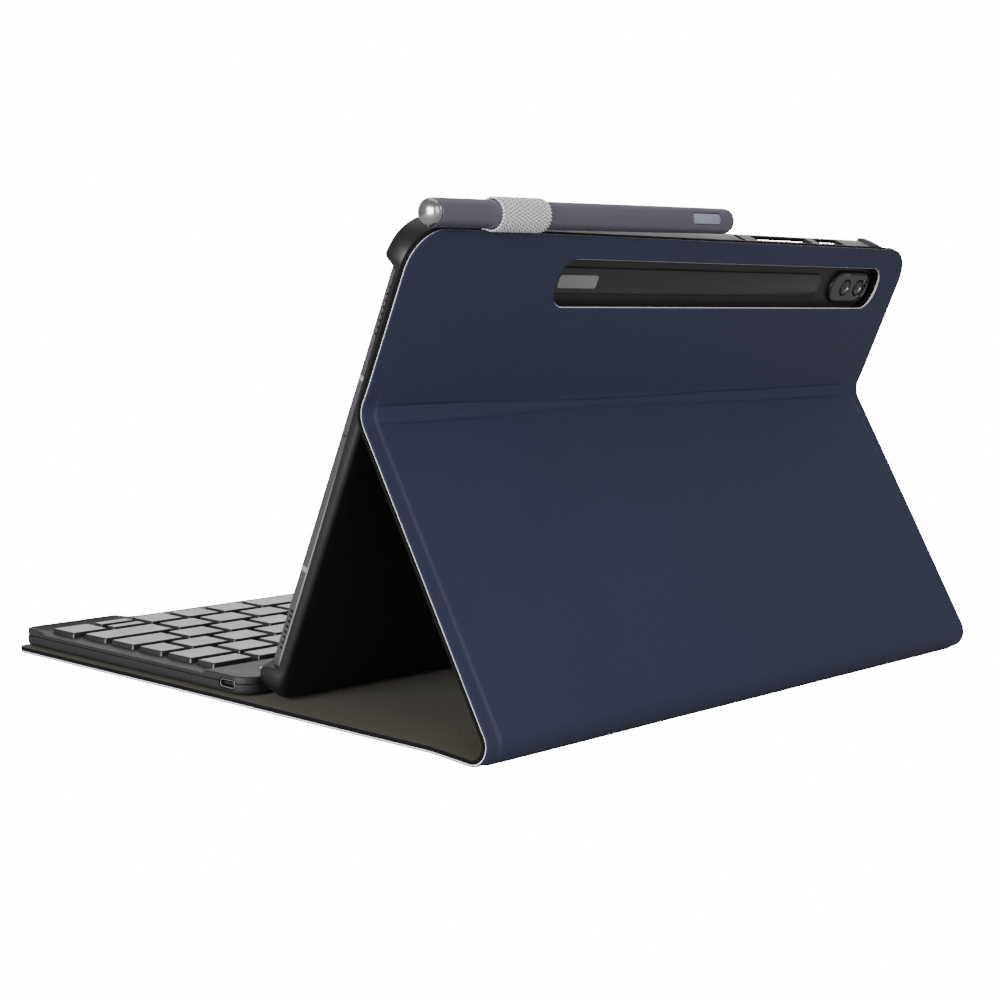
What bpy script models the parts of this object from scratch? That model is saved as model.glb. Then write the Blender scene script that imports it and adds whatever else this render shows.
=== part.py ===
"""Tablet keyboard case, standing open: folding cover, corner shell with tablet, stylus and keyboard.

Units are metres, +Z is up. The origin is on the table under the middle of the case. +X is the right-hand
side of someone typing, and -Y is their side. Every cover panel is a laminate of skin, board and lining.
"""

import math

import bmesh
import bpy
from mathutils import Matrix, Vector

# ---------------------------------------------------------------- driving dimensions

HALF_WIDTH = 0.128            # of the cover
HALF_DEPTH = 0.106            # of the standing case
GAP = 0.0003                  # between pieces that touch

SKIN_TOP = 0.0006             # laminate heights, measured from the outer face
BOARD_BOTTOM = SKIN_TOP + GAP
BOARD_TOP = 0.0017
LINING_BOTTOM = BOARD_TOP + GAP
LINING_TOP = 0.0024

CREASE_Y = 0.0856             # crease between front panel and spine
CREASE_LIFT = 0.0010
LOOP_RADIUS = 0.0065          # outer radius of the soft loop at the back
LOOP_Y = HALF_DEPTH - LOOP_RADIUS
FOLD_Y = 0.0559               # fold between kickstand and upper panel, on the outer face
FOLD_Z = 0.0910
LEAN = math.radians(68.4)     # of the tablet, from the table
UPPER_HEIGHT = 0.0550         # of the upper panel, along the tablet

FRONT_CORNER = 0.003
TOP_CORNER = 0.012
CREASE_SETBACK = 0.0016       # bare distance at each side of the crease, so the cover can close
FOLD_SETBACK = 0.0004         # the same at the fold between kickstand and upper panel
HINGE_BAND = 0.0028           # from the fold line to the boards' edges

WINDOW = (-0.1145, 0.0640, 0.0324, 0.0476)      # x0, x1, y0, y1 on the upper panel
WINDOW_CORNER = 0.0065

SHELL_HALF_WIDTH = 0.1240
SHELL_BOTTOM = -0.0953        # along the tablet, from the fold
SHELL_TOP = 0.0543
SHELL_CORNER = 0.0120
SHELL_LOWER_CORNER = 0.0070   # outside of the two lower bumpers, squarer than the tablet's corner
SHELL_WALL = 0.0013
SHELL_BACK = LINING_TOP + GAP
SHELL_FLOOR = SHELL_BACK + 0.0014
SIDE_WALL_TOP = 0.0060
LIP_BOTTOM = 0.0110
LIP_TOP = 0.0126
LIP_REACH = 0.0024
BUMPER_TOP_LENGTH = 0.0130
BUMPER_BOTTOM_LENGTH = 0.0085
BUMPER_ALONG_X = 0.0150

TABLET_HALF_WIDTH = SHELL_HALF_WIDTH - SHELL_WALL - GAP
TABLET_BOTTOM = SHELL_BOTTOM + SHELL_WALL + GAP
TABLET_TOP = SHELL_TOP - SHELL_WALL - GAP
TABLET_CORNER = SHELL_CORNER - SHELL_WALL - GAP
TABLET_BACK = SHELL_FLOOR + GAP
BODY_TOP = 0.0096
GLASS_TOP = LIP_BOTTOM - GAP
PEN_STRIP = (-0.0825, 0.0630, 0.0352, 0.0436)
CAMERA_PLATE = (-0.1135, -0.0890, 0.0334, 0.0449)
CAMERA_LENSES = {"camera_lens_main": -0.0986, "camera_lens_second": -0.1070}
CAMERA_LENS_Y = 0.0390
CAMERA_LENS_RADIUS = 0.0029
VOLUME_X = (-0.0680, -0.0420)
POWER_X = (-0.0890, -0.0775)
BUTTON_Z = (0.0058, 0.0082)

STYLUS_RADIUS = 0.0040
STYLUS_Y = 0.0603             # stylus axis where the loop holds it, above the cover's top edge
STYLUS_Z = 0.0
STYLUS_TILT = math.radians(-1.0)                # it hangs in the loop with its nib end raised
STYLUS_ROLL = math.radians(30.0)                # its button faces obliquely upwards
STYLUS_NIB_X = -0.0090
STYLUS_CAP_X = 0.1247
STYLUS_BUTTON = (-0.0003, 0.0138)
STYLUS_BUTTON_DEPTH = (0.0002, 0.0014)          # below the barrel's surface, clear of the elastic loop
LOOP_X = (0.0817, 0.1014)     # the elastic loop along the stylus
LOOP_WALL = 0.0006
LOOP_TAIL_Y = (0.0452, 0.0551)                  # sewn in between skin and lining
LOOP_TAIL_Z = (0.00095, 0.00165)
LOOP_NOTCH_MARGIN = 0.0007

KEYBOARD_HALF_WIDTH = 0.126
KEYBOARD_FRONT = 0.0010       # along the front panel, from its front edge
KEYBOARD_REAR = 0.1128
KEYBOARD_FRONT_CORNER = 0.0035
KEYBOARD_REAR_CORNER = 0.0060
TRAY_BOTTOM = LINING_TOP + GAP
TRAY_FLOOR = TRAY_BOTTOM + 0.0008
TRAY_TOP = 0.0061
TRAY_WALL = 0.0014
DECK_BOTTOM = TRAY_TOP + GAP
DECK_TOP = 0.0072
BAR_FRONT = 0.0925            # raised rear bar
BAR_RAMP = 0.0020
BAR_TOP = 0.0084
RIM_TOP = 0.0086              # raised lip at each front corner

KEY_FIELD = 0.120             # half-width
BOTTOM_ROW_SHIFT = 0.002      # the bottom row reaches further to the right than the others
KEY_FRONT = 0.0095            # front edge of the first row
KEY_PITCH_Y = 0.0144
KEY_DEPTH = 0.0120
FUNCTION_DEPTH = 0.0086
KEY_PITCH_X = 0.0177
KEY_GAP_X = 0.0022
KEY_TOP = 0.0087
KEY_TAPER = 0.0004
KEY_CLEARANCE = 0.00035
KEY_BASE = 0.0056
KEY_FLANGE_TOP = KEY_BASE + 0.0004
KEY_FLANGE = 0.0008

PORT_Y = 0.1045               # charging socket, along the front panel
PORT_Z = 0.0057
SWITCH_Y = (0.1000, 0.1030)
SWITCH_TRAVEL = 0.0035

# ---------------------------------------------------------------- derived frames

TILT = math.atan2(CREASE_LIFT, CREASE_Y + HALF_DEPTH)
FRONT_LENGTH = math.hypot(CREASE_LIFT, CREASE_Y + HALF_DEPTH)
LOOP_CENTRE = Vector((LOOP_Y, LOOP_RADIUS))


def tangent_angle(point, centre, radius):
    """Direction in which a line leaves the circle anticlockwise to reach the point."""
    reach = point - centre
    return math.atan2(reach.y, reach.x) + math.asin(radius / reach.length)


SPINE_ANGLE = -2.0 * math.atan2(CREASE_LIFT, LOOP_Y - CREASE_Y) / 2.0
KICK_ANGLE = tangent_angle(Vector((FOLD_Y, FOLD_Z)), LOOP_CENTRE, LOOP_RADIUS)
LOOP_SPLIT = (SPINE_ANGLE + KICK_ANGLE) / 2.0
KICK_LENGTH = math.sqrt((Vector((FOLD_Y, FOLD_Z)) - LOOP_CENTRE).length_squared - LOOP_RADIUS ** 2)
MID_LAYER = LINING_TOP / 2.0

FRONT_FRAME = Matrix.Translation((0, -HALF_DEPTH, 0)) @ Matrix.Rotation(TILT, 4, "X")
TABLET_FRAME = Matrix.Translation((0, FOLD_Y, FOLD_Z)) @ Matrix.Rotation(LEAN, 4, "X")
LOOP_MIDDLE = sum(LOOP_X) / 2
LOOP_FRAME = (TABLET_FRAME @ Matrix.Translation((LOOP_MIDDLE, STYLUS_Y, STYLUS_Z))
              @ Matrix.Rotation(STYLUS_TILT, 4, "Z") @ Matrix.Translation((-LOOP_MIDDLE, 0, 0)))
STYLUS_FRAME = LOOP_FRAME @ Matrix.Rotation(STYLUS_ROLL, 4, "X")


def loop_point(depth, angle):
    """Point on the rear loop, in (y, z), at a depth below the outer face."""
    radius = LOOP_RADIUS - depth
    return LOOP_CENTRE + radius * Vector((math.sin(angle), -math.cos(angle)))


def turn(vector, angle):
    return Vector((
        vector.x * math.cos(angle) - vector.y * math.sin(angle),
        vector.x * math.sin(angle) + vector.y * math.cos(angle),
    ))


def stand_fold_axis():
    """Point about which the kickstand turns so that the loop's middle layer keeps its length laid flat."""
    start = loop_point(MID_LAYER, SPINE_ANGLE)
    end = loop_point(MID_LAYER, KICK_ANGLE)
    flat_length = (LOOP_RADIUS - MID_LAYER) * (KICK_ANGLE - SPINE_ANGLE)
    flat_end = start + Vector((flat_length, 0))
    half = (end + flat_end) / 2.0
    chord = flat_end - end
    return half + Vector((chord.y, -chord.x)) / (2.0 * math.tan(KICK_ANGLE / 2.0))


def mid_fold_axis():
    """Point in the middle of the laminate's thickness, on the bisector of the two panels."""
    kick_inward = turn(Vector((0, 1)), KICK_ANGLE)
    upper_inward = turn(Vector((0, 1)), LEAN)
    inward = (kick_inward + upper_inward).normalized()
    half_turn = (KICK_ANGLE - LEAN) / 2.0
    return Vector((FOLD_Y, FOLD_Z)) + inward * MID_LAYER / math.cos(half_turn)


# ---------------------------------------------------------------- scene and materials


def clear_scene():
    for obj in list(bpy.data.objects):
        bpy.data.objects.remove(obj, do_unlink=True)


def make_material(name, colour, roughness, metallic=0.0):
    material = bpy.data.materials.new(name)
    material.use_nodes = True
    shader = material.node_tree.nodes["Principled BSDF"]
    shader.inputs["Base Color"].default_value = (*colour, 1.0)
    shader.inputs["Roughness"].default_value = roughness
    shader.inputs["Metallic"].default_value = metallic
    return material


def make_materials():
    return {
        "leather": make_material("navy_leather", (0.034, 0.041, 0.085), 0.55),
        "board": make_material("grey_board", (0.35, 0.33, 0.30), 0.90),
        "lining": make_material("microfibre", (0.105, 0.100, 0.080), 0.95),
        "steel": make_material("steel", (0.55, 0.55, 0.56), 0.35, 1.0),
        "shell": make_material("black_shell", (0.010, 0.010, 0.011), 0.45),
        "tablet_metal": make_material("tablet_metal", (0.090, 0.080, 0.090), 0.35, 1.0),
        "glass": make_material("display_glass", (0.006, 0.006, 0.007), 0.05),
        "pen_strip": make_material("pen_strip", (0.030, 0.031, 0.033), 0.15),
        "lens": make_material("lens", (0.010, 0.010, 0.012), 0.05),
        "elastic": make_material("woven_elastic", (0.62, 0.63, 0.65), 0.80),
        "stylus": make_material("stylus_body", (0.120, 0.115, 0.145), 0.40, 0.6),
        "chrome": make_material("polished_metal", (0.75, 0.75, 0.78), 0.12, 1.0),
        "nib": make_material("nib", (0.09, 0.09, 0.09), 0.60),
        "stylus_button": make_material("stylus_button", (0.33, 0.36, 0.45), 0.35),
        "keyboard": make_material("keyboard_housing", (0.018, 0.018, 0.019), 0.55),
        "key": make_material("keycap", (0.028, 0.028, 0.030), 0.45),
        "rubber": make_material("dome_rubber", (0.20, 0.20, 0.21), 0.80),
        "circuit": make_material("circuit_board", (0.010, 0.080, 0.035), 0.50),
        "battery": make_material("battery_pouch", (0.45, 0.45, 0.47), 0.35, 0.8),
        "socket": make_material("socket_metal", (0.50, 0.50, 0.50), 0.30, 1.0),
        "lightguide": make_material("light_guide", (0.55, 0.57, 0.60), 0.30),
    }


# ---------------------------------------------------------------- mesh helpers


def arc_points(centre, radius, start, end, steps):
    """Points from one angle to another, both included."""
    points = []
    for i in range(steps + 1):
        angle = start + (end - start) * i / steps
        points.append((centre[0] + radius * math.cos(angle), centre[1] + radius * math.sin(angle)))
    return points


def rounded_rectangle(x0, x1, y0, y1, radii, steps=4):
    """Anticlockwise outline. radii are for the corners x0y0, x1y0, x1y1 and x0y1, or one for all."""
    if not isinstance(radii, tuple):
        radii = (radii,) * 4
    corners = ((x0, y0, 1, 1), (x1, y0, -1, 1), (x1, y1, -1, -1), (x0, y1, 1, -1))
    outline = []
    for index, (x, y, sx, sy) in enumerate(corners):
        radius = radii[index]
        if radius == 0:
            outline.append((x, y))
            continue
        centre = (x + sx * radius, y + sy * radius)
        start = math.pi + index * math.pi / 2
        outline += arc_points(centre, radius, start, start + math.pi / 2, steps)
    return outline


def extrude(outline, low, high, axis="Z"):
    """Closed mesh of an outline between two heights. Along X the outline is in (y, z)."""
    mesh = bmesh.new()
    rings = []
    for level in (low, high):
        if axis == "Z":
            rings.append([mesh.verts.new((a, b, level)) for a, b in outline])
        else:
            rings.append([mesh.verts.new((level, a, b)) for a, b in outline])
    mesh.faces.new(list(reversed(rings[0])))
    mesh.faces.new(rings[1])
    for i in range(len(outline)):
        j = (i + 1) % len(outline)
        mesh.faces.new((rings[0][i], rings[0][j], rings[1][j], rings[1][i]))
    return mesh


def loft(sections):
    """Closed mesh through rings of equal length."""
    mesh = bmesh.new()
    rings = [[mesh.verts.new(point) for point in ring] for ring in sections]
    mesh.faces.new(list(reversed(rings[0])))
    mesh.faces.new(rings[-1])
    for low, high in zip(rings, rings[1:]):
        for i in range(len(low)):
            j = (i + 1) % len(low)
            mesh.faces.new((low[i], low[j], high[j], high[i]))
    bmesh.ops.recalc_face_normals(mesh, faces=mesh.faces)
    return mesh


def turned(profile, sides=28):
    """Closed solid of revolution about X. The profile is a list of (x, radius)."""
    sections = []
    for x, radius in profile:
        ring = []
        for i in range(sides):
            angle = 2 * math.pi * i / sides
            ring.append((x, radius * math.cos(angle), radius * math.sin(angle)))
        sections.append(ring)
    return loft(sections)


def box(x0, x1, y0, y1, z0, z1):
    return extrude([(x0, y0), (x1, y0), (x1, y1), (x0, y1)], z0, z1)


def tapered_box(x0, x1, y0, y1, z0, z1, taper):
    low = [(x0, y0, z0), (x1, y0, z0), (x1, y1, z0), (x0, y1, z0)]
    high = [
        (x0 + taper, y0 + taper, z1), (x1 - taper, y0 + taper, z1),
        (x1 - taper, y1 - taper, z1), (x0 + taper, y1 - taper, z1),
    ]
    return loft([low, high])


def merged(meshes):
    """One mesh that holds several separate closed meshes, used as a cutter."""
    result = bmesh.new()
    for part in meshes:
        vertices = {v: result.verts.new(v.co) for v in part.verts}
        for face in part.faces:
            result.faces.new([vertices[v] for v in face.verts])
        part.free()
    return result


def to_object(name, mesh, frame=None):
    data = bpy.data.meshes.new(name)
    mesh.normal_update()
    mesh.to_mesh(data)
    mesh.free()
    obj = bpy.data.objects.new(name, data)
    bpy.context.scene.collection.objects.link(obj)
    if frame is not None:
        obj.matrix_world = frame
    return obj


def attach(obj, parent):
    """Parents an object and leaves it where it is."""
    obj.parent = parent
    obj.matrix_parent_inverse = parent.matrix_world.inverted()


def add_piece(name, mesh, material, parent, frame=None):
    obj = to_object(name, mesh, frame)
    obj.data.materials.append(material)
    attach(obj, parent)
    return obj


def smooth(obj, angle=35.0):
    obj.data.shade_smooth()
    obj.data.set_sharp_from_angle(angle=math.radians(angle))


def boolean(obj, tool_mesh, operation="DIFFERENCE", frame=None):
    """Cuts, joins or trims an object with a hidden tool."""
    count = len(obj.modifiers)
    tool = to_object(f"tool_{obj.name}_{count}", tool_mesh, frame)
    tool.hide_render = True
    tool.display_type = "WIRE"
    attach(tool, obj.parent)
    modifier = obj.modifiers.new(tool.name, "BOOLEAN")
    modifier.operation = operation
    modifier.solver = "EXACT"
    modifier.object = tool
    return tool


def add_joint_frame(name, frame, parent=None):
    """Empty on a joint's axis, which carries the pieces that move with it."""
    empty = bpy.data.objects.new(name, None)
    empty.empty_display_size = 0.01
    bpy.context.scene.collection.objects.link(empty)
    empty.matrix_world = frame
    if parent is not None:
        attach(empty, parent)
    bpy.context.view_layer.update()
    return empty


# ---------------------------------------------------------------- cover


def panel_outline(y0, y1, inset=0.0, near_corner=0.0, far_corner=0.0):
    half = HALF_WIDTH - inset
    radii = (near_corner, near_corner, far_corner, far_corner)
    return rounded_rectangle(-half, half, y0, y1, radii)


def build_front_panel(materials, parent):
    end = FRONT_LENGTH - CREASE_SETBACK
    outline = panel_outline(0.0, end, near_corner=FRONT_CORNER)
    add_piece("front_skin", extrude(outline, 0.0, SKIN_TOP), materials["leather"], parent, FRONT_FRAME)
    add_piece("front_lining", extrude(outline, LINING_BOTTOM, LINING_TOP),
              materials["lining"], parent, FRONT_FRAME)

    board_outline = panel_outline(0.003, FRONT_LENGTH - HINGE_BAND, 0.003, FRONT_CORNER - 0.003)
    board = add_piece("front_board", extrude(board_outline, BOARD_BOTTOM, BOARD_TOP),
                      materials["board"], parent, FRONT_FRAME)
    strip = (-0.1150, 0.1150, 0.0965, 0.1125)
    slot = (strip[0] - GAP, strip[1] + GAP, strip[2] - GAP, strip[3] + GAP)
    boolean(board, box(*slot, 0.0, LINING_TOP), frame=FRONT_FRAME)
    add_piece("panel_steel_strip", box(*strip, BOARD_BOTTOM, BOARD_TOP),
              materials["steel"], parent, FRONT_FRAME)


def spine_point(depth, distance):
    """Point on the spine's flat part, in (y, z), a distance behind the crease."""
    along = turn(Vector((1, 0)), SPINE_ANGLE)
    inward = turn(Vector((0, 1)), SPINE_ANGLE)
    return Vector((CREASE_Y, CREASE_LIFT)) + along * distance + inward * depth


def spine_flat_length():
    tangent = loop_point(0.0, SPINE_ANGLE)
    return (tangent - Vector((CREASE_Y, CREASE_LIFT))).length


def spine_layer(depth, start, end_angle):
    points = [tuple(spine_point(depth, start))]
    steps = 6
    for i in range(steps + 1):
        angle = SPINE_ANGLE + (end_angle - SPINE_ANGLE) * i / steps
        points.append(tuple(loop_point(depth, angle)))
    return points


def kickstand_layer(depth, start_angle, end_distance):
    """Layer from the split in the loop up to a distance short of the fold."""
    points = []
    steps = 6
    for i in range(steps + 1):
        angle = start_angle + (KICK_ANGLE - start_angle) * i / steps
        points.append(tuple(loop_point(depth, angle)))
    top = Vector(points[-1]) + turn(Vector((1, 0)), KICK_ANGLE) * (KICK_LENGTH - end_distance)
    points.append(tuple(top))
    return points


def ribbon(outer, inner, half_width):
    """Strip across the case between an outer and an inner layer line."""
    return extrude(outer + inner[::-1], -half_width, half_width, axis="X")


def build_spine(materials, parent):
    split = LOOP_SPLIT - GAP / 2 / (LOOP_RADIUS - MID_LAYER)
    for name, low, high, material in (
        ("spine_skin", 0.0, SKIN_TOP, "leather"),
        ("spine_lining", LINING_BOTTOM, LINING_TOP, "lining"),
    ):
        outer = spine_layer(low, CREASE_SETBACK, split)
        inner = spine_layer(high, CREASE_SETBACK, split)
        add_piece(name, ribbon(outer, inner, HALF_WIDTH), materials[material], parent)
    end = spine_flat_length() - 0.0005
    outer = [tuple(spine_point(BOARD_BOTTOM, d)) for d in (HINGE_BAND, end)]
    inner = [tuple(spine_point(BOARD_TOP, d)) for d in (HINGE_BAND, end)]
    add_piece("spine_strip", ribbon(outer, inner, HALF_WIDTH - 0.008), materials["board"], parent)


def build_kickstand(materials, parent):
    split = LOOP_SPLIT + GAP / 2 / (LOOP_RADIUS - MID_LAYER)
    for name, low, high, material in (
        ("kickstand_skin", 0.0, SKIN_TOP, "leather"),
        ("kickstand_lining", LINING_BOTTOM, LINING_TOP, "lining"),
    ):
        outer = kickstand_layer(low, split, FOLD_SETBACK)
        inner = kickstand_layer(high, split, FOLD_SETBACK)
        add_piece(name, ribbon(outer, inner, HALF_WIDTH), materials[material], parent)
    base = loop_point(0.0, KICK_ANGLE)
    along = turn(Vector((1, 0)), KICK_ANGLE)
    inward = turn(Vector((0, 1)), KICK_ANGLE)
    ends = (0.0035, KICK_LENGTH - HINGE_BAND)
    outer = [tuple(base + along * d + inward * BOARD_BOTTOM) for d in ends]
    inner = [tuple(base + along * d + inward * BOARD_TOP) for d in ends]
    add_piece("kickstand_board", ribbon(outer, inner, HALF_WIDTH - 0.008), materials["board"], parent)


def window_outline(margin=0.0):
    x0, x1, y0, y1 = WINDOW
    return rounded_rectangle(x0 - margin, x1 + margin, y0 - margin, y1 + margin, WINDOW_CORNER)


def build_upper_panel(materials, parent):
    frame = TABLET_FRAME
    outline = panel_outline(FOLD_SETBACK, UPPER_HEIGHT, far_corner=TOP_CORNER)
    margin = LOOP_NOTCH_MARGIN
    notch = (LOOP_X[0] - margin, LOOP_X[1] + margin)
    through = (-0.001, LINING_TOP + 0.0005)

    skin = add_piece("upper_skin", extrude(outline, 0.0, SKIN_TOP), materials["leather"], parent, frame)
    boolean(skin, extrude(window_outline(), *through), frame=frame)

    lining = add_piece("upper_lining", extrude(outline, LINING_BOTTOM, LINING_TOP),
                       materials["lining"], parent, frame)
    boolean(lining, extrude(window_outline(), *through), frame=frame)

    board_outline = panel_outline(HINGE_BAND, UPPER_HEIGHT - 0.004, 0.004, 0.0, TOP_CORNER - 0.004)
    board = add_piece("upper_board", extrude(board_outline, BOARD_BOTTOM, BOARD_TOP),
                      materials["board"], parent, frame)
    boolean(board, extrude(window_outline(0.001), *through), frame=frame)
    boolean(board, box(*notch, LOOP_TAIL_Y[0] - margin, UPPER_HEIGHT, *through), frame=frame)


def build_pen_loop(materials, parent):
    inner = STYLUS_RADIUS + GAP
    outer = inner + LOOP_WALL
    start, end = [y - STYLUS_Y for y in LOOP_TAIL_Y]
    low, high = [z - STYLUS_Z for z in LOOP_TAIL_Z]
    outline = [(end, high), (start, high), (start, low), (end, low)]
    join_low = math.asin(low / outer) - math.radians(4)
    join_high = math.asin(high / outer) + math.radians(4)
    outline += arc_points((0, 0), outer, -math.pi - join_low, math.pi - join_high, 22)
    loop = add_piece("pen_loop", extrude(outline, *LOOP_X, axis="X"),
                     materials["elastic"], parent, LOOP_FRAME)
    bore = arc_points((0, 0), inner, 0, 2 * math.pi, 24)[:-1]
    boolean(loop, extrude(bore, LOOP_X[0] - 0.001, LOOP_X[1] + 0.001, axis="X"), frame=LOOP_FRAME)
    smooth(loop)


# ---------------------------------------------------------------- shell and tablet


def shell_outline(inset=0.0):
    lower = SHELL_LOWER_CORNER if inset == 0.0 else SHELL_CORNER - inset
    upper = SHELL_CORNER - inset
    return rounded_rectangle(
        -SHELL_HALF_WIDTH + inset, SHELL_HALF_WIDTH - inset,
        SHELL_BOTTOM + inset, SHELL_TOP - inset, (lower, lower, upper, upper), 5)


def build_shell(materials, parent):
    frame = TABLET_FRAME
    shell = add_piece("tablet_shell", extrude(shell_outline(), SHELL_BACK, LIP_TOP),
                      materials["shell"], parent, frame)
    boolean(shell, extrude(shell_outline(SHELL_WALL), SHELL_FLOOR, LIP_BOTTOM), frame=frame)
    boolean(shell, extrude(shell_outline(SHELL_WALL + LIP_REACH), SHELL_FLOOR + 0.001, LIP_TOP + 0.001),
            frame=frame)
    above = LIP_TOP + 0.001
    outside = SHELL_HALF_WIDTH + 0.001
    side_low = SHELL_BOTTOM + BUMPER_BOTTOM_LENGTH
    side_high = SHELL_TOP - BUMPER_TOP_LENGTH
    lip_end = SHELL_HALF_WIDTH - BUMPER_ALONG_X
    boolean(shell, box(-outside, outside, side_low, side_high, SIDE_WALL_TOP, above), frame=frame)
    boolean(shell, box(-lip_end, lip_end, SHELL_BOTTOM - 0.001, SHELL_TOP + 0.001, GLASS_TOP, above),
            frame=frame)
    window = (WINDOW[0] - 0.0015, WINDOW[1] + 0.0020, WINDOW[2] - 0.0014, WINDOW[3] + 0.0014)
    boolean(shell, extrude(rounded_rectangle(*window, WINDOW_CORNER), 0.002, SHELL_FLOOR + 0.001),
            frame=frame)
    wall = (SHELL_TOP - SHELL_WALL - 0.001, SHELL_TOP + 0.001)
    for x0, x1 in ((VOLUME_X[0] - 0.003, VOLUME_X[1] + 0.004), (POWER_X[0] - 0.002, POWER_X[1] + 0.002),
                   (-0.0310, -0.0285)):
        boolean(shell, box(x0, x1, *wall, 0.0048, 0.0094), frame=frame)
    smooth(shell, 25)


def build_tablet(materials, parent):
    frame = TABLET_FRAME
    body_outline = rounded_rectangle(-TABLET_HALF_WIDTH, TABLET_HALF_WIDTH, TABLET_BOTTOM, TABLET_TOP,
                                     TABLET_CORNER, 5)
    body = add_piece("tablet_body", extrude(body_outline, TABLET_BACK, BODY_TOP),
                     materials["tablet_metal"], parent, frame)
    for x0, x1 in (VOLUME_X, POWER_X):
        boolean(body, box(x0 - GAP, x1 + GAP, TABLET_TOP - 0.0020, TABLET_TOP + 0.001,
                          BUTTON_Z[0] - GAP, BUTTON_Z[1] + GAP), frame=frame)
    inset = 0.0004
    glass_outline = rounded_rectangle(
        -TABLET_HALF_WIDTH + inset, TABLET_HALF_WIDTH - inset,
        TABLET_BOTTOM + inset, TABLET_TOP - inset, TABLET_CORNER - inset, 5)
    add_piece("tablet_glass", extrude(glass_outline, BODY_TOP + GAP, GLASS_TOP),
              materials["glass"], parent, frame)

    x0, x1, y0, y1 = CAMERA_PLATE
    plate = add_piece("camera_plate", extrude(rounded_rectangle(*CAMERA_PLATE, (y1 - y0) / 2, 6),
                                              0.0030, SHELL_FLOOR), materials["lens"], parent, frame)
    for name, x in CAMERA_LENSES.items():
        hole = arc_points((x, CAMERA_LENS_Y), CAMERA_LENS_RADIUS + GAP, 0, 2 * math.pi, 16)[:-1]
        boolean(plate, extrude(hole, 0.0020, 0.0050), frame=frame)
        disc = arc_points((x, CAMERA_LENS_Y), CAMERA_LENS_RADIUS, 0, 2 * math.pi, 16)[:-1]
        add_piece(name, extrude(disc, 0.0028, SHELL_FLOOR), materials["lens"], parent, frame)
    add_piece("pen_strip", extrude(rounded_rectangle(*PEN_STRIP, 0.003), 0.0036, SHELL_FLOOR),
              materials["pen_strip"], parent, frame)


def build_tablet_buttons(materials, parents):
    depth = (TABLET_TOP - 0.0012, TABLET_TOP + 0.0007)
    for name, (x0, x1) in (("power_button", POWER_X), ("volume_rocker", VOLUME_X)):
        add_piece(name, box(x0, x1, *depth, *BUTTON_Z), materials["tablet_metal"], parents[name],
                  TABLET_FRAME)


# ---------------------------------------------------------------- stylus


def build_stylus(materials, parent, button_parent):
    radius = STYLUS_RADIUS
    rounding = 0.0028
    profile = [(STYLUS_CAP_X, radius - 0.0004), (STYLUS_CAP_X - 0.0004, radius)]
    nose = arc_points((STYLUS_NIB_X + rounding, radius - rounding), rounding,
                      math.pi / 2, math.pi, 5)
    barrel = add_piece("stylus_barrel", turned(profile + nose), materials["stylus"], parent, STYLUS_FRAME)
    x0, x1 = STYLUS_BUTTON
    half = 0.00165
    pocket = rounded_rectangle(x0 - GAP, x1 + GAP, -half - GAP, half + GAP, 0.0014, 3)
    boolean(barrel, extrude(pocket, -radius - 0.001, -radius + 0.0020), frame=STYLUS_FRAME)
    smooth(barrel)

    cap_x = STYLUS_CAP_X + GAP
    cap_radius = radius - 0.0001
    collar = 0.0006
    height = 0.0024
    dome = [(cap_x, cap_radius), (cap_x + collar, cap_radius)]
    for i in range(1, 6):
        angle = math.radians(80) * i / 5
        dome.append((cap_x + collar + height * math.sin(angle), cap_radius * math.cos(angle)))
    smooth(add_piece("stylus_end_cap", turned(dome), materials["chrome"], parent, STYLUS_FRAME))

    nib_x = STYLUS_NIB_X - GAP
    nib = [(nib_x, 0.0010), (nib_x - 0.0010, 0.0007), (nib_x - 0.0017, 0.0003)]
    smooth(add_piece("stylus_nib", turned(nib, 12), materials["nib"], parent, STYLUS_FRAME))

    pill = rounded_rectangle(x0, x1, -half, half, 0.0012, 3)
    top, bottom = STYLUS_BUTTON_DEPTH
    add_piece("stylus_button", extrude(pill, top - radius, bottom - radius),
              materials["stylus_button"], button_parent, STYLUS_FRAME)


# ---------------------------------------------------------------- keyboard


def keyboard_corners(inset):
    front = KEYBOARD_FRONT_CORNER - inset
    rear = KEYBOARD_REAR_CORNER - inset
    return (front, front, rear, rear)


def keyboard_outline(inset=0.0):
    return rounded_rectangle(
        -KEYBOARD_HALF_WIDTH + inset, KEYBOARD_HALF_WIDTH - inset,
        KEYBOARD_FRONT + inset, KEYBOARD_REAR - inset, keyboard_corners(inset))


def row_slots(names_and_widths, right):
    """Lays out one row from its right-hand end. Each entry is (node name, pitch)."""
    slots = []
    for name, pitch in names_and_widths:
        slots.append((name, right - pitch + KEY_GAP_X / 2, right - KEY_GAP_X / 2))
        right -= pitch
    return slots


def row_of(first, group, count, last):
    """A row with one wide key at each end. The left-hand key takes the width that is left."""
    entries = [first] + [(group, KEY_PITCH_X)] * count
    left_over = 2 * KEY_FIELD - sum(pitch for _, pitch in entries)
    return entries + [(last, left_over)]


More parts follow.
